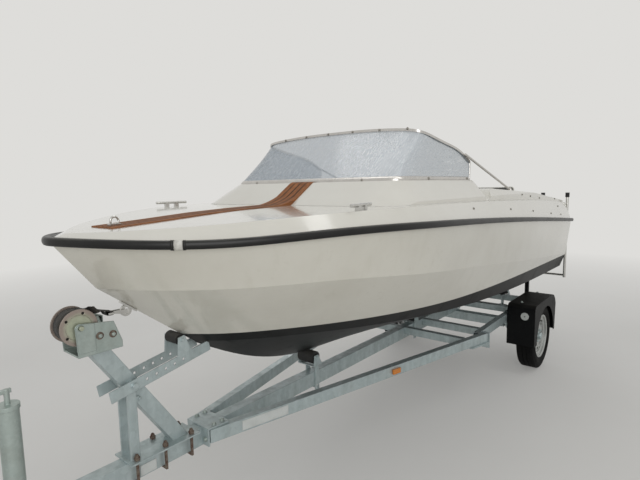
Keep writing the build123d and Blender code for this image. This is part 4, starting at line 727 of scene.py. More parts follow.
class Form:
    """A mesh under construction."""

    TUBE_SIDES = 8

    def __init__(self) -> None:
        """Starts empty."""
        self.bm = bmesh.new()

    def rings(self, loops: list[list[Vector]], closed: bool = False) -> "Form":
        """Skins a row of equal loops of points.

        Args:
            loops: Loops with the same number of points.
            closed: Whether the last loop joins the first; else both get a face.

        Returns:
            The form itself.
        """
        rows = [[self.bm.verts.new(point) for point in loop] for loop in loops]
        count = len(rows[0])
        pairs = list(zip(rows, rows[1:])) + ([(rows[-1], rows[0])] if closed else [])
        for low, high in pairs:
            for i in range(count):
                j = (i + 1) % count
                self.bm.faces.new((low[i], low[j], high[j], high[i]))
        if not closed:
            self.bm.faces.new(list(reversed(rows[0])))
            self.bm.faces.new(rows[-1])
        return self

    def lathe(self, profile: Iterable[tuple[float, float]], sides: int) -> "Form":
        """Turns a profile of radius and height about Z.

        Args:
            profile: Pairs of radius and height.
            sides: How many sides it gets.

        Returns:
            The form itself.
        """
        turns = [math.tau * i / sides for i in range(sides)]
        return self.rings([[Vector((r * math.cos(a), r * math.sin(a), z)) for a in turns]
                           for r, z in profile])

    def tube(self, path: list[Vector], radius: float, closed: bool = False) -> "Form":
        """Round tube along a path of points.

        Args:
            path: Points along its middle.
            radius: Its radius.
            closed: Whether its end joins its start.

        Returns:
            The form itself.
        """
        turns = [math.tau * i / self.TUBE_SIDES for i in range(self.TUBE_SIDES)]
        loops, side = [], None
        for i, point in enumerate(path):
            before = path[i - 1] if i or closed else point
            after = path[(i + 1) % len(path)] if i + 1 < len(path) or closed else point
            ahead = (after - before).normalized()
            side = (ahead.orthogonal() if side is None else side - ahead * side.dot(ahead)).normalized()
            over = ahead.cross(side)
            loops.append([point + (side * math.cos(a) + over * math.sin(a)) * radius for a in turns])
        return self.rings(loops, closed)

    def ordered(self) -> "Form":
        """Orders the faces by their corners, because a fill leaves them in an order of its own each run.

        Returns:
            The form itself.
        """
        self.bm.verts.index_update()
        count = len(self.bm.verts)
        self.bm.faces.sort(key=lambda face: sum(
            corner * count ** i for i, corner in enumerate(sorted(vert.index for vert in face.verts))))
        return self

    def mesh(self) -> bpy.types.Mesh:
        """The finished mesh, faces outward.

        Returns:
            The mesh; the form can't be used again.
        """
        bmesh.ops.recalc_face_normals(self.bm, faces=self.bm.faces)
        made = bpy.data.meshes.new("form")
        self.bm.to_mesh(made)
        self.bm.free()
        return made


class Template(Enum):
    """Small parts that repeat, as lathed profiles of radius and height with the sides of each.

    The stitch alone is a single row of place along the thread and radius.
    """

    STUD = ((((0.0072, -0.0004), (0.0074, 0.0008), (0.0066, 0.0015), (0.0052, 0.0016), (0.0046, 0.0040),
              (0.0036, 0.0052), (0.0014, 0.0056)), 20),)
    SCREW = ((((0.0042, -0.0004), (0.0042, 0.0006), (0.0036, 0.0016), (0.0022, 0.0022), (0.0015, 0.0022),
               (0.0010, 0.0010), (0.0003, 0.0008)), 18),)
    BOLT = ((((0.0140, -0.0005), (0.0140, 0.0022), (0.0132, 0.0027), (0.0060, 0.0027)), 28),
            (((0.0100, 0.0024), (0.0100, 0.0082), (0.0088, 0.0096), (0.0030, 0.0098)), 6))
    NUT = ((((0.0125, -0.0005), (0.0125, 0.0020), (0.0118, 0.0024), (0.0060, 0.0024)), 24),
           (((0.0098, 0.0022), (0.0098, 0.0090), (0.0086, 0.0102), (0.0058, 0.0104)), 6),
           (((0.0050, 0.0090), (0.0050, 0.0150), (0.0040, 0.0160), (0.0010, 0.0161)), 16))
    STITCH = ((-0.0021, 0.0002), (-0.0013, 0.00055), (0.0013, 0.00055), (0.0021, 0.0002))
    GAUGE = ((((0.0420, -0.001), (0.0440, 0.003), (0.0430, 0.009), (0.0395, 0.010), (0.0375, 0.006),
               (0.0080, 0.006), (0.0060, 0.008), (0.0010, 0.008)), 40),)
    VALVE = ((((0.0075, 0.0), (0.0070, 0.008), (0.0050, 0.014), (0.0042, 0.018), (0.0042, 0.026),
               (0.0034, 0.032), (0.0010, 0.033)), 16),)
    WASHER = ((((0.0150, -0.0005), (0.0150, 0.0020), (0.0140, 0.0026), (0.0070, 0.0026)), 28),)
    HEAD = ((((0.0085, 0.0020), (0.0085, 0.0080), (0.0074, 0.0092), (0.0020, 0.0094)), 6),)

    def mesh(self) -> bpy.types.Mesh:
        """Mesh of one part, standing on the XY plane with Z outward; a stitch lies along X.

        Returns:
            The mesh.
        """
        form = Form()
        if self is Template.STITCH:
            turns = [math.tau * i / 5 for i in range(5)]
            form.rings([[Vector((x, r * math.cos(a), r * math.sin(a) * 0.7)) for a in turns]
                        for x, r in self.value])
        else:
            for profile, sides in self.value:
                form.lathe(profile, sides)
        return form.mesh()


class Rows:
    """Geometry nodes that set one small part at every point of a row."""

    tree: Optional[bpy.types.NodeTree] = None

    @classmethod
    def build(cls) -> bpy.types.NodeTree:
        """The shared tree, built once.

        Returns:
            A tree whose inputs are the points, the part, its material, its size, its turn and the seed.
        """
        if cls.tree is not None:
            return cls.tree
        cls.tree = bpy.data.node_groups.new("row_of_parts", "GeometryNodeTree")
        wires = Wiring(cls.tree)
        into = wires.inputs("Points", "Part", "Material", "Size", "Turn", "Seed")
        aim, along = (wires.add("GeometryNodeInputNamedAttribute", {"Name": name},
                                data_type="FLOAT_VECTOR").outputs[0] for name in ("aim", "along"))
        upright = wires.add("FunctionNodeAlignRotationToVector", {"Vector": aim}, axis="Z").outputs[0]
        turned = wires.add("FunctionNodeAlignRotationToVector", {"Rotation": upright, "Vector": along},
                           axis="X", pivot_axis="Z").outputs[0]
        chance = wires.add("FunctionNodeRandomValue", {"Seed": into["Seed"]}, data_type="FLOAT").outputs[1]
        spin = wires.add("ShaderNodeCombineXYZ", {2: wires.times(chance, into["Turn"])}).outputs[0]
        turn = wires.add("FunctionNodeEulerToRotation", {0: spin}).outputs[0]
        spun = wires.add("FunctionNodeRotateRotation", {"Rotation": turned, "Rotate By": turn},
                         rotation_space="LOCAL").outputs[0]
        part = wires.add("GeometryNodeObjectInfo", {"Object": into["Part"]}).outputs["Geometry"]
        placed = wires.add("GeometryNodeInstanceOnPoints", {
            "Points": into["Points"], "Instance": part, "Rotation": spun, "Scale": into["Size"]}).outputs[0]
        real = wires.add("GeometryNodeRealizeInstances", {"Geometry": placed}).outputs[0]
        dressed = wires.add("GeometryNodeSetMaterial", {"Geometry": real, "Material": into["Material"]})
        wires.outputs(Geometry=dressed.outputs[0])
        return cls.tree


@dataclass(frozen=True)
class Seat:
    """Where one small part sits, which way it points and which way it lies."""

    spot: Vector
    aim: Vector
    along: Vector = field(default_factory=lambda: Vector((1.0, 0.02, 0.03)))


def row_of(name: str, template: Template, seats: list[Seat], finish: Finish, body: str = TRAILER,
           size: float = 1.0, turn: float = 0.0, seed: int = 1) -> bpy.types.Object:
    """Sets small parts on their seats and keeps them as one plain mesh.

    Args:
        name: Name of the piece.
        template: The part that repeats.
        seats: One seat for each.
        finish: Their finish.
        body: The body that they ride on.
        size: Scale of the part.
        turn: Largest random turn about the part's own axis, in radians.
        seed: Seed of the random turns.

    Returns:
        The piece.
    """
    part = shown(name + "_part", template.mesh())
    points = bpy.data.meshes.new(name + "_points")
    points.from_pydata([seat.spot for seat in seats], [], [])
    for label in ("aim", "along"):
        stored = points.attributes.new(label, "FLOAT_VECTOR", "POINT")
        stored.data.foreach_set("vector", [c for seat in seats for c in getattr(seat, label)])
    carrier = shown(name + "_carrier", points)
    tree = Rows.build()
    modifier = carrier.modifiers.new("rows", "NODES")
    modifier.node_group = tree
    keys = {item.name: item.identifier for item in tree.interface.items_tree if item.in_out == "INPUT"}
    for label, value in (("Part", part), ("Material", finish.material()), ("Size", size), ("Turn", turn),
                         ("Seed", seed)):
        modifier[keys[label]] = value
    mesh = applied(carrier)
    bpy.data.objects.remove(part)
    return settle(name, mesh, finish, body, smooth=template not in (Template.NUT, Template.HEAD))


@dataclass(frozen=True)
class Fit:
    """Where a pad made at the origin goes: its node, its middle and how it is turned and leaned."""

    name: str
    node: str
    middle: Vector
    fore: float
    port: float
    lean: float = 0.0

    def matrix(self) -> Matrix:
        """The move from the pad's own axes to the row frame."""
        turn = Matrix(((self.fore, 0.0, self.lean), (0.0, self.port, 0.0), (0.0, 0.0, 1.0)))
        return Matrix.Translation(self.middle) @ turn.to_4x4()


@dataclass
class Pad:
    """A stuffed pad at the origin, with the courses of its piping and its stitches.

    Its size is its outer size along X, Y and Z. Its face is the axis that its two large faces look along.
    The inset is how much smaller the unstuffed cover is on each side, and the cap is how far a point may
    move while it is stuffed.
    """

    VOXEL: ClassVar[float] = 0.007
    WELT: ClassVar[float] = 0.0034
    ROUNDING: ClassVar[float] = 0.22
    PRESSURE: ClassVar[float] = 4.0
    FRAMES: ClassVar[int] = 20
    CORNER: ClassVar[float] = 0.03
    SQUARENESS: ClassVar[float] = 0.28
    BELOW_EDGE: ClassVar[float] = 0.016
    ABOVE_FACE: ClassVar[float] = 0.02

    size: Vector
    face: int
    inset: float
    cap: float
    mesh: bpy.types.Mesh = field(init=False)
    skin: BVHTree = field(init=False)

    def __post_init__(self) -> None:
        """Cuts, stuffs and trims the pad."""
        cover = self.cover()
        filled = self.stuffed(cover)
        self.mesh = self.trimmed(filled)
        self.skin = skin_of(self.mesh)

    def cover(self) -> bpy.types.Mesh:
        """The sewn cover before it is filled, as an even net of faces.

        Returns:
            The cover's mesh.
        """
        bm = bmesh.new()
        bmesh.ops.create_cube(bm, size=1.0)
        bmesh.ops.scale(bm, vec=self.size - Vector((self.inset, self.inset, self.inset)) * 2, verts=bm.verts)
        bmesh.ops.bevel(bm, geom=list(bm.edges), offset=min(self.size) * self.ROUNDING, segments=3,
                        affect="EDGES", profile=0.5)
        mesh = bpy.data.meshes.new("cover")
        bm.to_mesh(mesh)
        bm.free()
        made = shown("cover", mesh)
        remesh = made.modifiers.new("net", "REMESH")
        remesh.mode, remesh.voxel_size = "VOXEL", self.VOXEL
        return applied(made)

    def stuffed(self, cover: bpy.types.Mesh) -> bpy.types.Mesh:
        """The cover filled by cloth simulation, each point held within the cap.

        Args:
            cover: The unstuffed cover.

        Returns:
            The stuffed cover.
        """
        before = [v.co.copy() for v in cover.vertices]
        made = shown("stuffing", cover)
        cloth = made.modifiers.new("cloth", "CLOTH")
        cloth.settings.use_pressure = True
        cloth.settings.uniform_pressure_force = self.PRESSURE
        cloth.settings.effector_weights.gravity = 0.0
        cloth.point_cache.frame_start, cloth.point_cache.frame_end = 1, self.FRAMES
        for step in range(1, self.FRAMES + 1):
            bpy.context.scene.frame_set(step)
        mesh = applied(made)
        bpy.context.scene.frame_set(1)
        for vertex, start in zip(mesh.vertices, before):
            moved = vertex.co - start
            if moved.length > self.cap:
                vertex.co = start + moved.normalized() * self.cap
        return mesh

    def trimmed(self, mesh: bpy.types.Mesh) -> bpy.types.Mesh:
        """The pad fitted into its solid, flat where it rests and smoothed once.

        Args:
            mesh: The stuffed cover.

        Returns:
            The finished pad.
        """
        low = Vector([min(v.co[i] for v in mesh.vertices) for i in range(3)])
        high = Vector([max(v.co[i] for v in mesh.vertices) for i in range(3)])
        room = self.size - Vector((0.002, 0.002, -0.004))
        for vertex in mesh.vertices:
            share = [(vertex.co[i] - low[i]) / (high[i] - low[i]) - 0.5 for i in range(3)]
            vertex.co = Vector([share[i] * room[i] for i in range(3)]) + Vector((0.0, 0.0, -0.003))
            vertex.co.z = max(vertex.co.z, 0.0005 - self.size.z / 2)
        made = shown("trimmed", mesh)
        made.modifiers.new("smooth", "SUBSURF").levels = 1
        return applied(made)

    def course(self, side: float, inset: float, pitch: float) -> list[tuple[Vector, Vector]]:
        """Places and outward ways along a rounded loop near one large face.

        Args:
            side: 1 for the face on the positive side, -1 for the other.
            inset: How far in from the pad's edge the loop runs; at 0 it runs round the pad's side.
            pitch: Distance from point to point.

        Returns:
            Points on the stuffed cover, each with the way that the cover faces there.
        """
        across = [i for i in range(3) if i != self.face]
        half = [self.size[i] / 2 - inset for i in across]
        count = int(4 * (half[0] + half[1]) / pitch)
        beyond, off = (self.CORNER, -self.BELOW_EDGE) if inset == 0 else (0.0, self.ABOVE_FACE)
        found = []
        for turn in (math.tau * step / count for step in range(count)):
            point = Vector((0.0, 0.0, 0.0))
            for axis, wave, length in zip(across, (math.cos(turn), math.sin(turn)), half):
                point[axis] = math.copysign(abs(wave) ** self.SQUARENESS, wave) * (length + beyond)
            point[self.face] = side * (self.size[self.face] / 2 + off)
            spot, normal, _, _ = self.skin.find_nearest(point)
            found.append((spot, normal))
        return self.evened(found, pitch)

    @staticmethod
    def evened(found: list[tuple[Vector, Vector]], pitch: float) -> list[tuple[Vector, Vector]]:
        """The same loop with evenly spaced points.

        Args:
            found: Points with their ways.
            pitch: Distance from point to point.

        Returns:
            New points with their ways.
        """
        loop, left = [], 0.0
        for (start, way), (end, next_way) in zip(found, found[1:] + found[:1]):
            length = (end - start).length
            while left < length:
                share = left / length
                loop.append((start.lerp(end, share), way.lerp(next_way, share).normalized()))
                left += pitch
            left -= length
        return loop[:-1] if (loop[-1][0] - loop[0][0]).length < pitch / 2 else loop


@dataclass
class Upholstery:
    """Seat cushions and backs, black with white piping."""

    cushion_size: tuple[float, float, float] = (0.4985, 0.370, 0.095)
    back_size: tuple[float, float, float] = (0.052, 0.370, 0.4247)
    lean: float = 0.0965 / 0.4247
    off_middle: float = 0.355
    fill: float = 0.8
    welt_lift: float = 0.0012
    welt_pitch: float = 0.012
    seam_inset: float = 0.022
    stitch_pitch: float = 0.008
    places: tuple[tuple[str, str, float, float, float], ...] = (
        ("front_cushion", "front_cushions", 2.69925, 1.1378, 1.0),
        ("rear_cushion", "rear_cushions", 3.50075, 1.1378, -1.0),
        ("front_back", "front_seat_backs", 3.02425, 1.30265, 1.0),
        ("rear_back", "rear_seat_backs", 3.17575, 1.30265, -1.0))
    stitches: list[Seat] = field(default_factory=list)
    welts: Form = field(default_factory=Form)

    def __post_init__(self) -> None:
        """Makes one pad of each kind; the others are the same cut."""
        self.cushion = Pad(Vector(self.cushion_size), 2, 0.012, 0.022)
        self.back = Pad(Vector(self.back_size), 0, 0.009, 0.016)

    def fits(self) -> Iterable[tuple[Pad, Fit]]:
        """Every pad with its place in the boat.

        Returns:
            Pairs of pad and fit, all of port first.
        """
        for side, port in SIDES:
            for name, node, s, z, fore in self.places:
                pad, lean = (self.back, -self.lean * fore) if "back" in name else (self.cushion, 0.0)
                middle = place(s, self.off_middle * port, z)
                yield pad, Fit(f"{name}_{side}", node, middle, fore, port, lean)

    def sew(self, pad: Pad, move: Matrix, side: float) -> None:
        """Adds the piping and the stitches of one large face of a placed pad.

        Args:
            pad: The pad at the origin.
            move: Its move to its place.
            side: 1 or -1, as for its course.
        """
        turn = move.to_3x3()
        edge = pad.course(side, 0.0, self.welt_pitch)
        welt = [move @ (spot + way * self.welt_lift) for spot, way in edge]
        self.welts.tube(welt, pad.WELT, closed=True)
        seam = pad.course(side, self.seam_inset, self.stitch_pitch)
        for (spot, way), (after, _) in zip(seam, seam[1:] + seam[:1]):
            along = (turn @ (after - spot)).normalized()
            self.stitches.append(Seat(move @ spot, (turn @ way).normalized(), along))

    def build(self) -> None:
        """Places the pads, their piping and their stitches."""
        for pad, fit in self.fits():
            move = fit.matrix()
            mesh = pad.mesh.copy()
            mesh.transform(move)
            if fit.fore * fit.port < 0:
                mesh.flip_normals()
            made = settle(fit.name, mesh, VINYL)
            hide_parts(fit.node)
            for side in (1.0, -1.0) if pad is self.back else (1.0,):
                self.sew(pad, move, side)
        settle("seat_piping", self.welts.mesh(), PIPING)
        row_of("seat_stitches", Template.STITCH, self.stitches, THREAD)


@dataclass(frozen=True)
class Sight:
    """Level or upright lines of sight that find where one kind of fastening sits."""

    nodes: tuple[str, ...]
    way: Vector
    places: Triples

    def seats(self, side: int = 1) -> list[Seat]:
        """Seats where the lines meet one of the nodes.

        Args:
            side: 1 for the places as they are written, -1 for their mirror image to starboard.

        Returns:
            One seat for each line that meets a node.
        """
        way = Vector((self.way.x, self.way.y * side, self.way.z))
        found = [Skins.hit(self.nodes, place(s, y * side, z), way) for s, y, z in self.places]
        return [Seat(*hit) for hit in found if hit is not None]

    @staticmethod
    def both(*sights: "Sight") -> list[Seat]:
        """Seats of several sights on the port side and then on the starboard side."""
        return [seat for _, side in SIDES for sight in sights for seat in sight.seats(side)]


@dataclass(frozen=True)
class Fastenings:
    """Studs, screws, bolts, nuts and valves, each seated on the surface that carries it."""

    full_turn: float = 6.28
    cover_studs: Sight = Sight(
        ("deck_moulding", "aft_deck", "coaming_moulding", "aft_coaming"), STARBOARD,
        ((1.780, 1.050, 1.415), (2.380, 1.050, 1.383), (2.877, 1.058, 1.346), (3.404, 1.050, 1.300),
         (3.764, 1.060, 1.270), (3.768, 1.015, 1.340), (2.880, 0.970, 1.461), (3.090, 0.976, 1.445),
         (3.339, 0.976, 1.423), (3.830, 0.970, 1.401)))
    sill_studs: Pairs = ((1.284, 0.375), (1.590, 0.597), (2.085, 0.599))
    sill_height: float = 1.577
    rail_studs: tuple[float, ...] = (-0.387, -0.214, -0.041, 0.133, 0.306, 0.479)
    rail_place: float = 1.540
    rail_top: float = 1.8465
    rail_crown: float = 0.06
    stay_screws: Sight = Sight(("windscreen_frame",), DOWN, ((2.741, 0.632, 1.60), (2.759, 0.632, 1.60)))
    lens_screws: Sight = Sight(("reflectors",), AFT, ((2.9, 0.655, 0.505),))
    winch_bolts: tuple[Sight, ...] = (
        Sight(("winch_frame",), STARBOARD, ((0.118, 0.3, 1.037),)),
        Sight(("winch_frame",), STARBOARD, ((0.165, 0.3, 1.032),)))
    frame_bolts: tuple[Sight, ...] = (
        Sight(("frame_clamps",), DOWN, ((0.585, 0.062, 0.8), (0.630, 0.062, 0.8))),
        Sight(("frame_clamps",), AFT, ((0.3, 0.055, 0.455),)),
        Sight(("frame_clamps", "side_beams"), DOWN, ((2.60, 0.552, 0.9), (2.68, 0.552, 0.9))),
        Sight(("side_beams",), DOWN, ((3.270, 0.470, 0.9), (3.270, 0.520, 0.9), (3.350, 0.470, 0.9),
                                      (3.350, 0.520, 0.9))),
        Sight(("bow_support",), STARBOARD, ((0.330, 0.3, 0.822),)),
        Sight(("mudguards",), DOWN, ((3.23, 0.60, 0.9), (3.69, 0.60, 0.9))))
    nuts: Triples = ((0.231, 0.0475, 0.5172), (0.354, 0.0475, 0.5172), (0.477, 0.0475, 0.5172))
    valve: tuple[float, float, float] = (3.465, 1.2, 0.396)
    gauges: Sight = Sight(("dashboard",), FORE, ((2.0, -0.455, 1.470), (2.0, -0.145, 1.470),
                                                 (2.0, 0.15, 1.470)))

    @staticmethod
    def nearest(node: str, point: Vector) -> Seat:
        """Seat on a surface, at its nearest place to a point."""
        spot, normal, _, _ = Skins.of(node).find_nearest(point)
        return Seat(spot, normal)

    def studs(self) -> list[Seat]:
        """Seats of the cover's snap studs, along the deck, the coaming, the sill and the screen's rail.

        Returns:
            The seats.
        """
        seats = Sight.both(self.cover_studs)
        LOG.info("cover studs at %d of %d places", len(seats), 2 * len(self.cover_studs.places))
        seats += [self.nearest("sill_trim", place(s, y * side, self.sill_height)) for _, side in SIDES
                  for s, y in self.sill_studs]
        rail = [place(self.rail_place, y, self.rail_top - self.rail_crown * y * y) for y in self.rail_studs]
        return seats + [self.nearest("windscreen_frame", point) for point in rail]

    def build(self) -> None:
        """Sets every kind."""
        winch = [seat for sight in self.winch_bolts for seat in Sight.both(sight)]
        nuts = [Seat(place(s, y * side, z), UP) for _, side in SIDES for s, y, z in self.nuts]
        row_of("cover_studs", Template.STUD, self.studs(), STUD_METAL, seed=3,
               turn=self.full_turn)
        row_of("stay_screws", Template.SCREW, Sight.both(self.stay_screws), STUD_METAL, seed=5,
               turn=self.full_turn, size=0.9)
        row_of("reflector_screws", Template.SCREW, Sight.both(self.lens_screws), RUBBER,
               seed=6, turn=self.full_turn, size=1.1)
        row_of("winch_washers", Template.WASHER, winch, RUSTY, seed=7, turn=1.0, size=0.9)
        row_of("winch_bolts", Template.HEAD, winch, PLATE, seed=7, turn=1.0, size=0.9)
        row_of("frame_bolts", Template.BOLT, Sight.both(*self.frame_bolts), PLATE, seed=8,
               turn=1.0, size=0.85)
        row_of("u_bolt_nuts", Template.NUT, nuts, RUSTY, seed=9, turn=1.0, size=0.95)
        for name, side in SIDES:
            valve = Sight(("rim_" + name,), STARBOARD, (self.valve,)).seats(side)
            row_of("valve_" + name, Template.VALVE, valve, RUBBER, "wheel_" + name)
        row_of("dash_gauges", Template.GAUGE, self.gauges.seats(), BLACK_PLASTIC, size=0.9)


def looks_round(sides: list[float], middle: float, degrees: Iterable[int]) -> list[tuple[float, Vector]]:
    """Places on the centreline with the level ways to look from them: to port, round the bow, to starboard.

    Args:
        sides: Distances aft of the bow tip, going forward, from which both sides are looked at.
        middle: The place from which the bow is looked at.
        degrees: Angles of those looks from dead ahead, from port to starboard.

    Returns:
        Pairs of place and way.
    """
    ahead = [(middle, Vector((math.cos(a), math.sin(a), 0.0))) for a in map(math.radians, degrees)]
    return [(s, PORT) for s in sides] + ahead + [(s, STARBOARD) for s in reversed(sides)]


def runs(path: list[Vector]) -> Iterable[tuple[Vector, Vector]]:
    """Each point of a path with the way that the path runs there.

    Args:
        path: Points in order.

    Returns:
        Pairs of point and way.
    """
    past = [2 * path[0] - path[1], *path, 2 * path[-1] - path[-2]]
    for before, here, after in zip(past, path, past[2:]):
        yield here, (after - before).normalized()


@dataclass(frozen=True)
class Caulking:
    """Dark filling in the seams between the foredeck planks."""

    seams: tuple[float, ...] = (-0.040, 0.0, 0.040)
    ahead: float = 0.184
    astern: float = 1.282
    steps: int = 110
    half_top: float = 0.0034
    half_foot: float = 0.0021
    deep: float = 0.0032
    proud: float = 0.0005
    beside: float = 0.008
    above: float = 2.0

    def section(self, s: float, seam: float, z: float) -> list[Vector]:
        """Four corners of the filling at one place.

        Args:
            s: The place, aft of the bow tip.
            seam: The seam's distance to port.
            z: Height of the filling's top.

        Returns:
            The corners, top first.
        """
        foot = z - self.deep
        return [place(s, seam - self.half_top, z), place(s, seam + self.half_top, z),
                place(s, seam + self.half_foot, foot), place(s, seam - self.half_foot, foot)]

    def build(self) -> None:
        """Lays the filling level with the planks beside each seam."""
        form = Form()
        for seam in self.seams:
            loops = []
            for step in range(self.steps + 1):
                s = self.ahead + (self.astern - self.ahead) * step / self.steps
                top = Skins.hit(("foredeck_planks",), place(s, seam + self.beside, self.above), DOWN)
                if top is not None:
                    loops.append(self.section(s, seam, top[0].z + self.proud))
            form.rings(loops)
        settle("plank_caulking", form.mesh(), CAULK, smooth=False)


@dataclass(frozen=True)
class Sealant:
    """Bead of sealant along the foot of the coaming, down one side, round the front and up the other."""

    radius: float = 0.0030
    height: float = 1.462
    above_deck: float = 0.002
    off_wall: float = 0.006
    bow_look: float = 1.58

    def foot_of(self, middle: float, way: Vector) -> Optional[Vector]:
        """Where the coaming meets the deck, looking out from the centreline.

        Args:
            middle: The place to look from, aft of the bow tip.
            way: The level direction to look in.

        Returns:
            The place, or None where there is no coaming.
        """
        start, height = place(middle, 0.0, 0.0) + way * LOOK_FROM, self.height
        for _ in range(2):
            wall = Skins.hit(("coaming_moulding",), start + UP * height, -way)
            if wall is None:
                return None
            deck = Skins.hit(("deck_moulding",), wall[0] + way * self.off_wall + UP * 0.5, DOWN)
            if deck is None:
                return None
            height = deck[0].z + self.above_deck
        return Vector((wall[0].x, wall[0].y, deck[0].z))

    def build(self) -> None:
        """Lays the bead."""
        looks = looks_round([3.76 - 0.05 * i for i in range(44)], self.bow_look, range(88, -89, -2))
        path = [spot for spot in (self.foot_of(s, way) for s, way in looks) if spot is not None]
        LOG.info("sealant bead over %d of %d places", len(path), len(looks))
        settle("coaming_sealant", Form().tube(path, self.radius).mesh(), SEALANT)


def about_cross_axis(profile: Iterable[tuple[float, float]], sides: int, axis: Vector) -> bpy.types.Mesh:
    """A profile of radius and distance to port, turned about an axis that runs across the boat.

    Args:
        profile: Pairs of radius and distance to port.
        sides: How many sides it gets.
        axis: A point on the axis.

    Returns:
        The turned mesh.
    """
    mesh = Form().lathe(profile, sides).mesh()
    mesh.transform(Matrix.Translation(axis) @ Matrix.Rotation(math.radians(-90), 4, "X"))
    return mesh


@dataclass(frozen=True)
class CrankGrip:
    """Black grip on the winch crank."""

    axis: tuple[float, float] = (0.155, 0.944)
    sides: int = 24
    profile: Pairs = ((0.0080, -0.2035), (0.0150, -0.2030), (0.0163, -0.2000), (0.0158, -0.1900),
                      (0.0150, -0.1550), (0.0158, -0.1200), (0.0162, -0.1120), (0.0148, -0.1080),
                      (0.0080, -0.1078))

    def build(self) -> None:
        """Turns the grip."""
        s, z = self.axis
        mesh = about_cross_axis(self.profile, self.sides, place(s, 0.0, z))
        settle("crank_grip", mesh, BLACK_PLASTIC, "crank")


@dataclass(frozen=True)
class SillTrim:
    """Polished half-round strip along the foot of the windscreen's sheet."""

    name: str = "sill_trim"
    low: float = 1.5675
    high: float = 1.5875
    crown: float = 0.0035
    sunk: float = 0.0015
    fullness: float = 0.6
    reach: int = 118
    steps: int = 8
    clear: float = 0.3

    def met(self, node: str, height: float, way: Vector) -> Optional[Vector]:
        """Near face of a node at a height, looking in at the middle of the windscreen."""
        found = Skins.hit((node,), UP * height + way * LOOK_FROM, -way)
        return found[0] if found is not None and found[0].dot(way) > self.clear else None

    def section(self, way: Vector, foot: Vector, head: Vector) -> list[Vector]:
        """Half-round section from the sill's face up onto the sheet.

        Args:
            way: The way that the windscreen faces there.
            foot: Where it starts on the sill.
            head: Where it ends on the sheet.

        Returns:
            Points round the section.
        """
        rise = head - foot
        out = (way - rise * (way.dot(rise) / rise.length_squared)).normalized()
        shares = [k / self.steps for k in range(1, self.steps)]
        arc = [foot + rise * share + out * (self.crown * math.sin(math.pi * share) ** self.fullness)
               for share in shares]
        return [foot - out * self.sunk, foot, *arc, head, head - out * self.sunk]

    def build(self) -> None:
        """Lays the strip and makes it a seat for the studs."""
        loops = []
        for angle in map(math.radians, range(-self.reach, self.reach + 1)):
            way = Vector((math.cos(angle), math.sin(angle), 0.0))
            foot = self.met("windscreen_frame", self.low, way)
            head = self.met("windscreen_pane", self.high, way)
            if foot is not None and head is not None:
                loops.append(self.section(way, foot, head))
        LOG.info("sill trim over %d of %d places", len(loops), 2 * self.reach + 1)
        made = settle(self.name, Form().rings(loops).mesh(), SCREEN_METAL)
        Skins.trees[self.name] = skin_of(made.data)


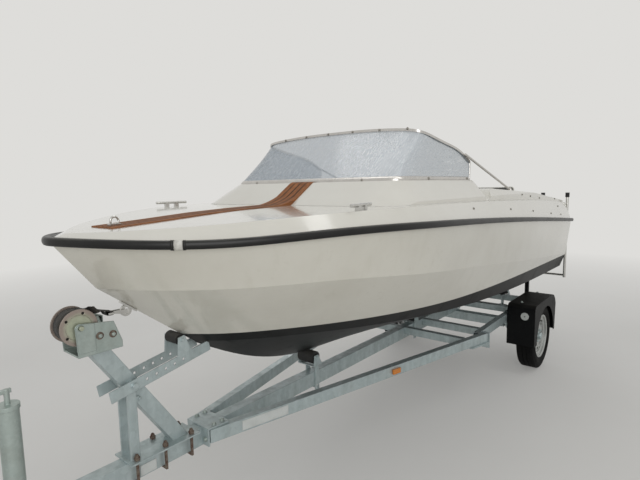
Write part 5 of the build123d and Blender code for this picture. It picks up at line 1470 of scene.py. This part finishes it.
@dataclass(frozen=True)
class RubRail:
    """Round-faced rubber rail from quarter to quarter, its nose piece parted from its sides."""

    proud: float = 0.0220
    half: float = 0.0148
    easing: int = 3
    flat: float = 0.45
    fullness: float = 0.7
    amidships: float = 1.5
    inside: float = 0.006
    bow_look: float = 0.55
    lifts: tuple[float, ...] = (0.0, 0.010, -0.010, 0.020, -0.020)
    angles: tuple[float, ...] = (-89.9, *range(-75, 90, 15), 89.896)
    heights: Pairs = ((0.0, 1.380), (0.3, 1.364), (0.7, 1.380), (1.2, 1.377), (1.8, 1.350), (2.6, 1.306),
                      (3.4, 1.253), (4.2, 1.197))
    joints: tuple[tuple[str, float, float, float, Finish], ...] = (
        ("core", 0.2245, 0.2475, 0.0006, RAIL_CORE), ("lip_fore", 0.2180, 0.2255, 0.0024, RUB_RUBBER),
        ("lip_aft", 0.2465, 0.2530, 0.0020, RUB_RUBBER))

    def height(self, s: float) -> float:
        """Rough height of the rail, near enough for a line of sight to meet it.

        Args:
            s: The place, aft of the bow tip.

        Returns:
            The height above the floor.
        """
        for (start, low), (end, high) in zip(self.heights, self.heights[1:]):
            if s <= end:
                return low + (high - low) * (max(s, start) - start) / (end - start)
        return self.heights[-1][1]

    def sighted(self, middle: float, way: Vector) -> Optional[Vector]:
        """Middle of the plain rail's outer face, looking out from the centreline.

        Args:
            middle: The place to look from, aft of the bow tip.
            way: The level direction to look in.

        Returns:
            The place, or None where the line misses the rail.
        """
        height = self.height(middle - way.x * 0.5)
        for lift in self.lifts:
            found = Skins.hit(("rub_rail",), place(middle, 0.0, height + lift) + way * LOOK_FROM, -way)
            if found is None:
                continue
            inside = found[0] - way * self.inside
            ends = [Skins.hit(("rub_rail",), inside, upright) for upright in (UP, DOWN)]
            if None not in ends:
                return Vector((found[0].x, found[0].y, (ends[0][0].z + ends[1][0].z) / 2))
        return None

    def course(self) -> list[Vector]:
        """Middle of the outer face, from the port quarter round the bow, its nose eased.

        Returns:
            The points in order.
        """
        sides = [4.145, 4.10] + [4.05 - 0.05 * i for i in range(70)]
        looks = looks_round(sides, self.bow_look, range(87, -88, -3))
        path = [spot for spot in (self.sighted(s, way) for s, way in looks) if spot is not None]
        LOG.info("rub rail sighted at %d of %d places", len(path), len(looks))
        for _ in range(self.easing):
            eased = [(a + 2 * b + c) / 4 for a, b, c in zip(path, path[1:], path[2:])]
            path = [path[0], *eased, path[-1]]
        return path

    def sections(self, path: list[Vector], grow: float) -> list[list[Vector]]:
        """Round-faced sections along a path on the outer face, thickened by grow.

        Args:
            path: Points on the plain rail's outer face.
            grow: How much thicker it is than the rail.

        Returns:
            One loop of points for each point of the path.
        """
        face = [((self.proud + grow) * (self.flat + (1 - self.flat) * math.cos(a) ** self.fullness),
                 (self.half + grow) * math.sin(a)) for a in map(math.radians, self.angles)]
        loops = []
        for here, ahead in runs(path):
            out = Vector((ahead.y, -ahead.x, 0.0)).normalized()
            out = out if out.dot(here - place(self.amidships, 0.0, here.z)) > 0 else -out
            back = here - out * self.proud
            front = [back + out * beyond + UP * rise for beyond, rise in face]
            loops.append([back - UP * self.half, *front, back + UP * self.half])
        return loops

    @staticmethod
    def stretch(path: list[Vector], side: int, start: float, end: float) -> list[Vector]:
        """Three points of the course between two places on one side.

        Args:
            path: The course.
            side: 1 for port, -1 for starboard.
            start: Its fore end.
            end: Its aft end.

        Returns:
            The two ends and the middle.
        """
        own = [spot for spot in path if spot.y * side > 0]
        found = []
        for s in (start, (start + end) / 2, end):
            x = BOW - s
            for one, two in zip(own, own[1:]):
                if (one.x - x) * (two.x - x) <= 0 and one.x != two.x:
                    found.append(one.lerp(two, (x - one.x) / (two.x - one.x)))
                    break
        return found

    def build(self) -> None:
        """Lays the rail and its two open joints."""
        path = self.course()
        whole = Form().rings(self.sections(path, 0.0)).mesh()
        made = settle("rounded_rub_rail", whole, RUB_RUBBER)
        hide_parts("rub_rail")
        for name, side in SIDES:
            for kind, start, end, grow, finish in self.joints:
                loops = self.sections(self.stretch(path, side, start, end), grow)
                settle(f"rail_{kind}_{name}", Form().rings(loops).mesh(), finish)


@dataclass(frozen=True)
class Winch:
    """Wound and led strap of the winch, the pressed ring of its drum and the doubled plate of its cheek."""

    coil: float = 0.0575
    core: float = 0.025
    half: float = 0.0200
    thick: float = 0.0024
    edge: float = 0.0003
    off_flange: float = 0.0004
    ring_off_coil: float = 0.0033
    face: float = 0.0622
    plate_thick: float = 0.0016
    shaft_hole: float = 0.0095
    lead_steps: int = 40
    twist_from: float = 0.15
    twist_over: float = 0.5
    narrowing: float = 0.45
    above_hook: float = 0.0014
    rounded: float = 0.0002
    shifts: Pairs = ((0.0, 0.0), (0.0015, 0.0005), (0.0032, 0.0012), (0.0040, 0.0060))
    fold: Pairs = ((0.0, 0.0), (-0.0035, -0.0004), (-0.0056, -0.0026), (-0.0062, -0.0055), (-0.0056, -0.0085),
                   (-0.0035, -0.0108), (0.0, -0.0116), (0.0100, -0.0114), (0.0185, -0.0095), (0.0260, 0.0035),
                   (0.0360, 0.0075))
    ring_profile: Pairs = ((0.0420, -0.0006), (0.0432, 0.0012), (0.0446, 0.0016), (0.0455, -0.0006),
                           (0.0430, -0.0008))
    cheek: Pairs = ((0.0385, 1.0815), (0.0450, 1.0900), (0.0600, 1.0915), (0.1020, 1.0863), (0.1030, 0.9880),
                    (0.0440, 0.9880))

    def wind(self) -> None:
        """The turns of strap on the drum, the outer ones narrower and not quite level."""
        low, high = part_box("winch_coil")
        near, far = high[1] - self.off_flange, low[1] + self.off_flange
        count = len(self.shifts)
        turns = [(self.coil - (count - i) * self.thick, *shift) for i, shift in enumerate(self.shifts)]
        profile = [(self.core, far), (turns[0][0], far)]
        for level, left, _ in turns:
            profile += [(level + self.edge, far + left),
                        (level + self.thick - self.edge, far + left + self.rounded)]
        for level, _, right in reversed(turns):
            profile += [(level + self.thick - self.edge, near - right - self.rounded),
                        (level + self.edge, near - right)]
        profile.append((self.core, near))
        mesh = about_cross_axis(profile, 72, Vector(DRUM_AXIS))
        made = settle("wound_strap", mesh, WEBBING, "drum")
        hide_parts("winch_coil")

    def led(self, start: Vector, end: Vector) -> list[list[Vector]]:
        """Sections of the strap from its coil to the hook, with a half twist.

        Args:
            start: Where it leaves its coil.
            end: The bar of the hook.

        Returns:
            The sections in order.
        """
        ahead = (end - start).normalized()
        over = Vector((-ahead.z, 0.0, ahead.x))
        over = over if over.z > 0 else -over
        loops = []
        for share in (step / self.lead_steps for step in range(self.lead_steps + 1)):
            twist = math.pi * min(1.0, max(0.0, (share - self.twist_from) / self.twist_over))
            narrow = 1.0 - self.narrowing * math.sin(twist) ** 2
            side = Vector((0.0, math.cos(twist), 0.0)) + over * math.sin(twist)
            face = side.cross(ahead).normalized()
            loops.append(self.section(start.lerp(end, share), side * self.half * narrow,
                                      face * self.thick * (1.5 - 0.5 * narrow)))
        return loops

    def lead(self) -> None:
        """The strap from the top of its coil to the hook, and the sewn loop at its end."""
        axis = Vector((DRUM_AXIS[0], 0.0, DRUM_AXIS[2]))
        end = Vector((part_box("winch_strap")[0][0], 0.0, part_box("winch_hook")[1][2] + self.above_hook))
        gap = end - axis
        lift = self.coil + self.thick / 2
        angle = math.atan2(gap.z, gap.x) - math.acos(lift / gap.length)
        start = axis + Vector((math.cos(angle), 0.0, math.sin(angle))) * lift
        folded = [Vector((end.x + x, 0.0, end.z + z)) for x, z in self.fold]
        loop = [self.section(here, PORT * self.half, Vector((run.z, 0.0, -run.x)) * self.thick)
                for here, run in runs(folded)]
        mesh = Form().rings(self.led(start, end)).rings(loop).mesh()
        made = settle("led_strap", mesh, WEBBING)
        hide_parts("winch_strap")

    @staticmethod
    def section(here: Vector, side: Vector, depth: Vector) -> list[Vector]:
        """Eight points round a strap's section, its two edges rounded.

        Args:
            here: Middle of the strap.
            side: Way and distance to its edge.
            depth: Way and amount of its thickness.

        Returns:
            The points in order.
        """
        half, inner = depth * 0.5, side * 0.94
        eased = half * 0.3
        return [here + inner + half, here + side + eased, here + side - eased, here + inner - half,
                here - inner - half, here - side - eased, here - side + eased, here - inner + half]

    def ring(self) -> None:
        """Pressed ring on the near flange of the drum."""
        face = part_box("winch_coil")[1][1] + self.ring_off_coil
        profile = [(radius, face + out) for radius, out in self.ring_profile]
        mesh = about_cross_axis(profile, 64, Vector(DRUM_AXIS))
        settle("flange_ring", mesh, FLANGE, "drum")

    def plate(self) -> None:
        """Second plate spot-welded on the near cheek, round the end of the drum's shaft."""
        form = Form()
        turns = [math.tau * i / 20 for i in range(20)]
        hole = [(DRUM_AFT + self.shaft_hole * math.cos(a), DRUM_AXIS[2] + self.shaft_hole * math.sin(a))
                for a in turns]
        edges = []
        for loop in (self.cheek, hole):
            points = [form.bm.verts.new(place(s, self.face, z)) for s, z in loop]
            edges += [form.bm.edges.new(ends) for ends in zip(points, points[1:] + points[:1])]
        bmesh.ops.triangle_fill(form.bm, use_beauty=True, edges=edges)
        lifted = bmesh.ops.extrude_face_region(form.bm, geom=list(form.bm.faces))
        for vertex in (item for item in lifted["geom"] if isinstance(item, bmesh.types.BMVert)):
            vertex.co.y += self.plate_thick
        settle("cheek_plate", form.ordered().mesh(), PLATE, smooth=False)

    def build(self) -> None:
        """Winds and leads the strap and adds the pressed parts."""
        self.wind()
        self.lead()
        self.ring()
        self.plate()


@dataclass
class Studio:
    """Floor, lamps, world and the camera at the photograph's place."""

    BACKDROP: ClassVar[str] = "E3E2DF"
    LEVEL: ClassVar[float] = 0.95
    FLOOR_RADIUS: ClassVar[float] = 30.0
    LAMPS: ClassVar[tuple[tuple[Any, ...], ...]] = (
        ("ceiling_lamp", (0.0, 0.5, 5.5), (0.0, 0.0, 1.0), (0.7, 7.0), 40.0),
        ("front_lamp", (4.5, 4.0, 2.6), (0.5, 0.0, 1.0), (3.0, 3.0), 85.0),
        ("far_lamp", (-4.5, -3.5, 3.0), (-0.5, 0.0, 1.0), (3.0, 3.0), 45.0))

    lens: float = 26.08
    yaw: float = 39.50
    pitch: float = 6.59
    roll: float = -1.05
    eye: tuple[float, float, float] = (BOW + 0.608, 1.673, 1.545)

    def camera(self) -> None:
        """Makes the camera and turns it as the photograph's was."""
        yaw, pitch, roll = (math.radians(a) for a in (self.yaw, self.pitch, self.roll))
        head = Vector((-math.cos(yaw), -math.sin(yaw), 0))
        right = Vector((-math.sin(yaw), math.cos(yaw), 0))
        ahead = head * math.cos(pitch) - UP * math.sin(pitch)
        over = head * math.sin(pitch) + UP * math.cos(pitch)
        across = right * math.cos(roll) + over * math.sin(roll)
        above = over * math.cos(roll) - right * math.sin(roll)
        data = bpy.data.cameras.new("photo_view")
        data.lens, data.sensor_width = self.lens, 36.0
        data.clip_start, data.clip_end = 0.05, 200.0
        eye = shown("photo_view", data)
        turn = Matrix((across, above, -ahead)).transposed()
        eye.matrix_world = Matrix.Translation(self.eye) @ turn.to_4x4()
        bpy.context.scene.camera = eye

    @staticmethod
    def looked_at(wires: Wiring) -> bpy.types.NodeSocket:
        """1 for rays from the camera, also by way of gloss or glass, and 0 for the rest.

        Args:
            wires: Nodes of the floor or the world.

        Returns:
            The share.
        """
        path = wires.add("ShaderNodeLightPath").outputs
        through = wires.maths("MAXIMUM", path["Is Glossy Ray"], path["Is Transmission Ray"])
        return wires.maths("MAXIMUM", path["Is Camera Ray"], through)

    def floor(self) -> None:
        """Wide pale floor that keeps the shadow and fades into the backdrop with distance."""
        mesh = bpy.data.meshes.new("floor")
        turns = [math.tau * i / 64 for i in range(64)]
        rim = [(self.FLOOR_RADIUS * math.cos(a), self.FLOOR_RADIUS * math.sin(a), 0.0) for a in turns]
        mesh.from_pydata(rim, [], [tuple(range(64))])
        stuff = bpy.data.materials.new("floor_paint")
        stuff.use_nodes = True
        wires = Wiring(stuff.node_tree)
        where = wires.where()
        tone = wires.blend(wires.noise(where, 1.2, 5.0), tint("CFCDC8"), tint("D8D6D2"))
        shader = wires.add("ShaderNodeBsdfPrincipled", {"Base Color": tone, "Roughness": 0.85})
        glow = wires.add("ShaderNodeEmission", {"Color": tint(self.BACKDROP), "Strength": self.LEVEL})
        away = wires.band(wires.vectors("LENGTH", where), 3.5, 9.0)
        share = wires.times(wires.plus(0.25, wires.times(away, 0.75)), self.looked_at(wires))
        mixed = wires.add("ShaderNodeMixShader", {0: share, 1: shader.outputs[0], 2: glow.outputs[0]})
        wires.add("ShaderNodeOutputMaterial", {"Surface": mixed.outputs[0]})
        mesh.materials.append(stuff)
        shown("floor", mesh)

    @staticmethod
    def lamp(name: str, where: tuple[float, float, float], aim: tuple[float, float, float],
             size: tuple[float, float], power: float) -> None:
        """One soft rectangular lamp.

        Args:
            name: Lamp name.
            where: Its centre.
            aim: The point that it faces.
            size: Its width and length.
            power: Watts.
        """
        data = bpy.data.lights.new(name, "AREA")
        data.shape, data.size, data.size_y, data.energy = "RECTANGLE", size[0], size[1], power
        turn = (Vector(aim) - Vector(where)).to_track_quat("-Z", "Y")
        shown(name, data).matrix_world = Matrix.Translation(where) @ turn.to_matrix().to_4x4()

    def world(self) -> None:
        """Pale surroundings, plain for the camera and dimmer as a light."""
        made = bpy.data.worlds.new("surroundings")
        bpy.context.scene.world = made
        made.use_nodes = True
        wires = Wiring(made.node_tree)
        lit = wires.add("ShaderNodeBackground", {"Color": tint("E8EAEC"), "Strength": 0.62})
        seen = wires.add("ShaderNodeBackground", {"Color": tint(self.BACKDROP), "Strength": self.LEVEL})
        mixed = wires.add("ShaderNodeMixShader", {
            0: self.looked_at(wires), 1: lit.outputs[0], 2: seen.outputs[0]})
        wires.add("ShaderNodeOutputWorld", {"Surface": mixed.outputs[0]})

    def build(self) -> None:
        """Builds the whole studio."""
        self.camera()
        self.floor()
        self.world()
        for lamp in self.LAMPS:
            self.lamp(*lamp)
        bpy.context.scene.view_settings.view_transform = "Standard"
        LOG.info("studio ready")


def main() -> None:
    """Builds the scene piece by piece."""
    logging.basicConfig(level=logging.INFO, format="%(name)s: %(message)s")
    Studio().build()
    dress_nodes()
    for part in (Upholstery(), SillTrim(), Fastenings(), Caulking(), Sealant(), CrankGrip(), RubRail(),
                 Winch()):
        part.build()


if __name__ == "__main__":
    main()
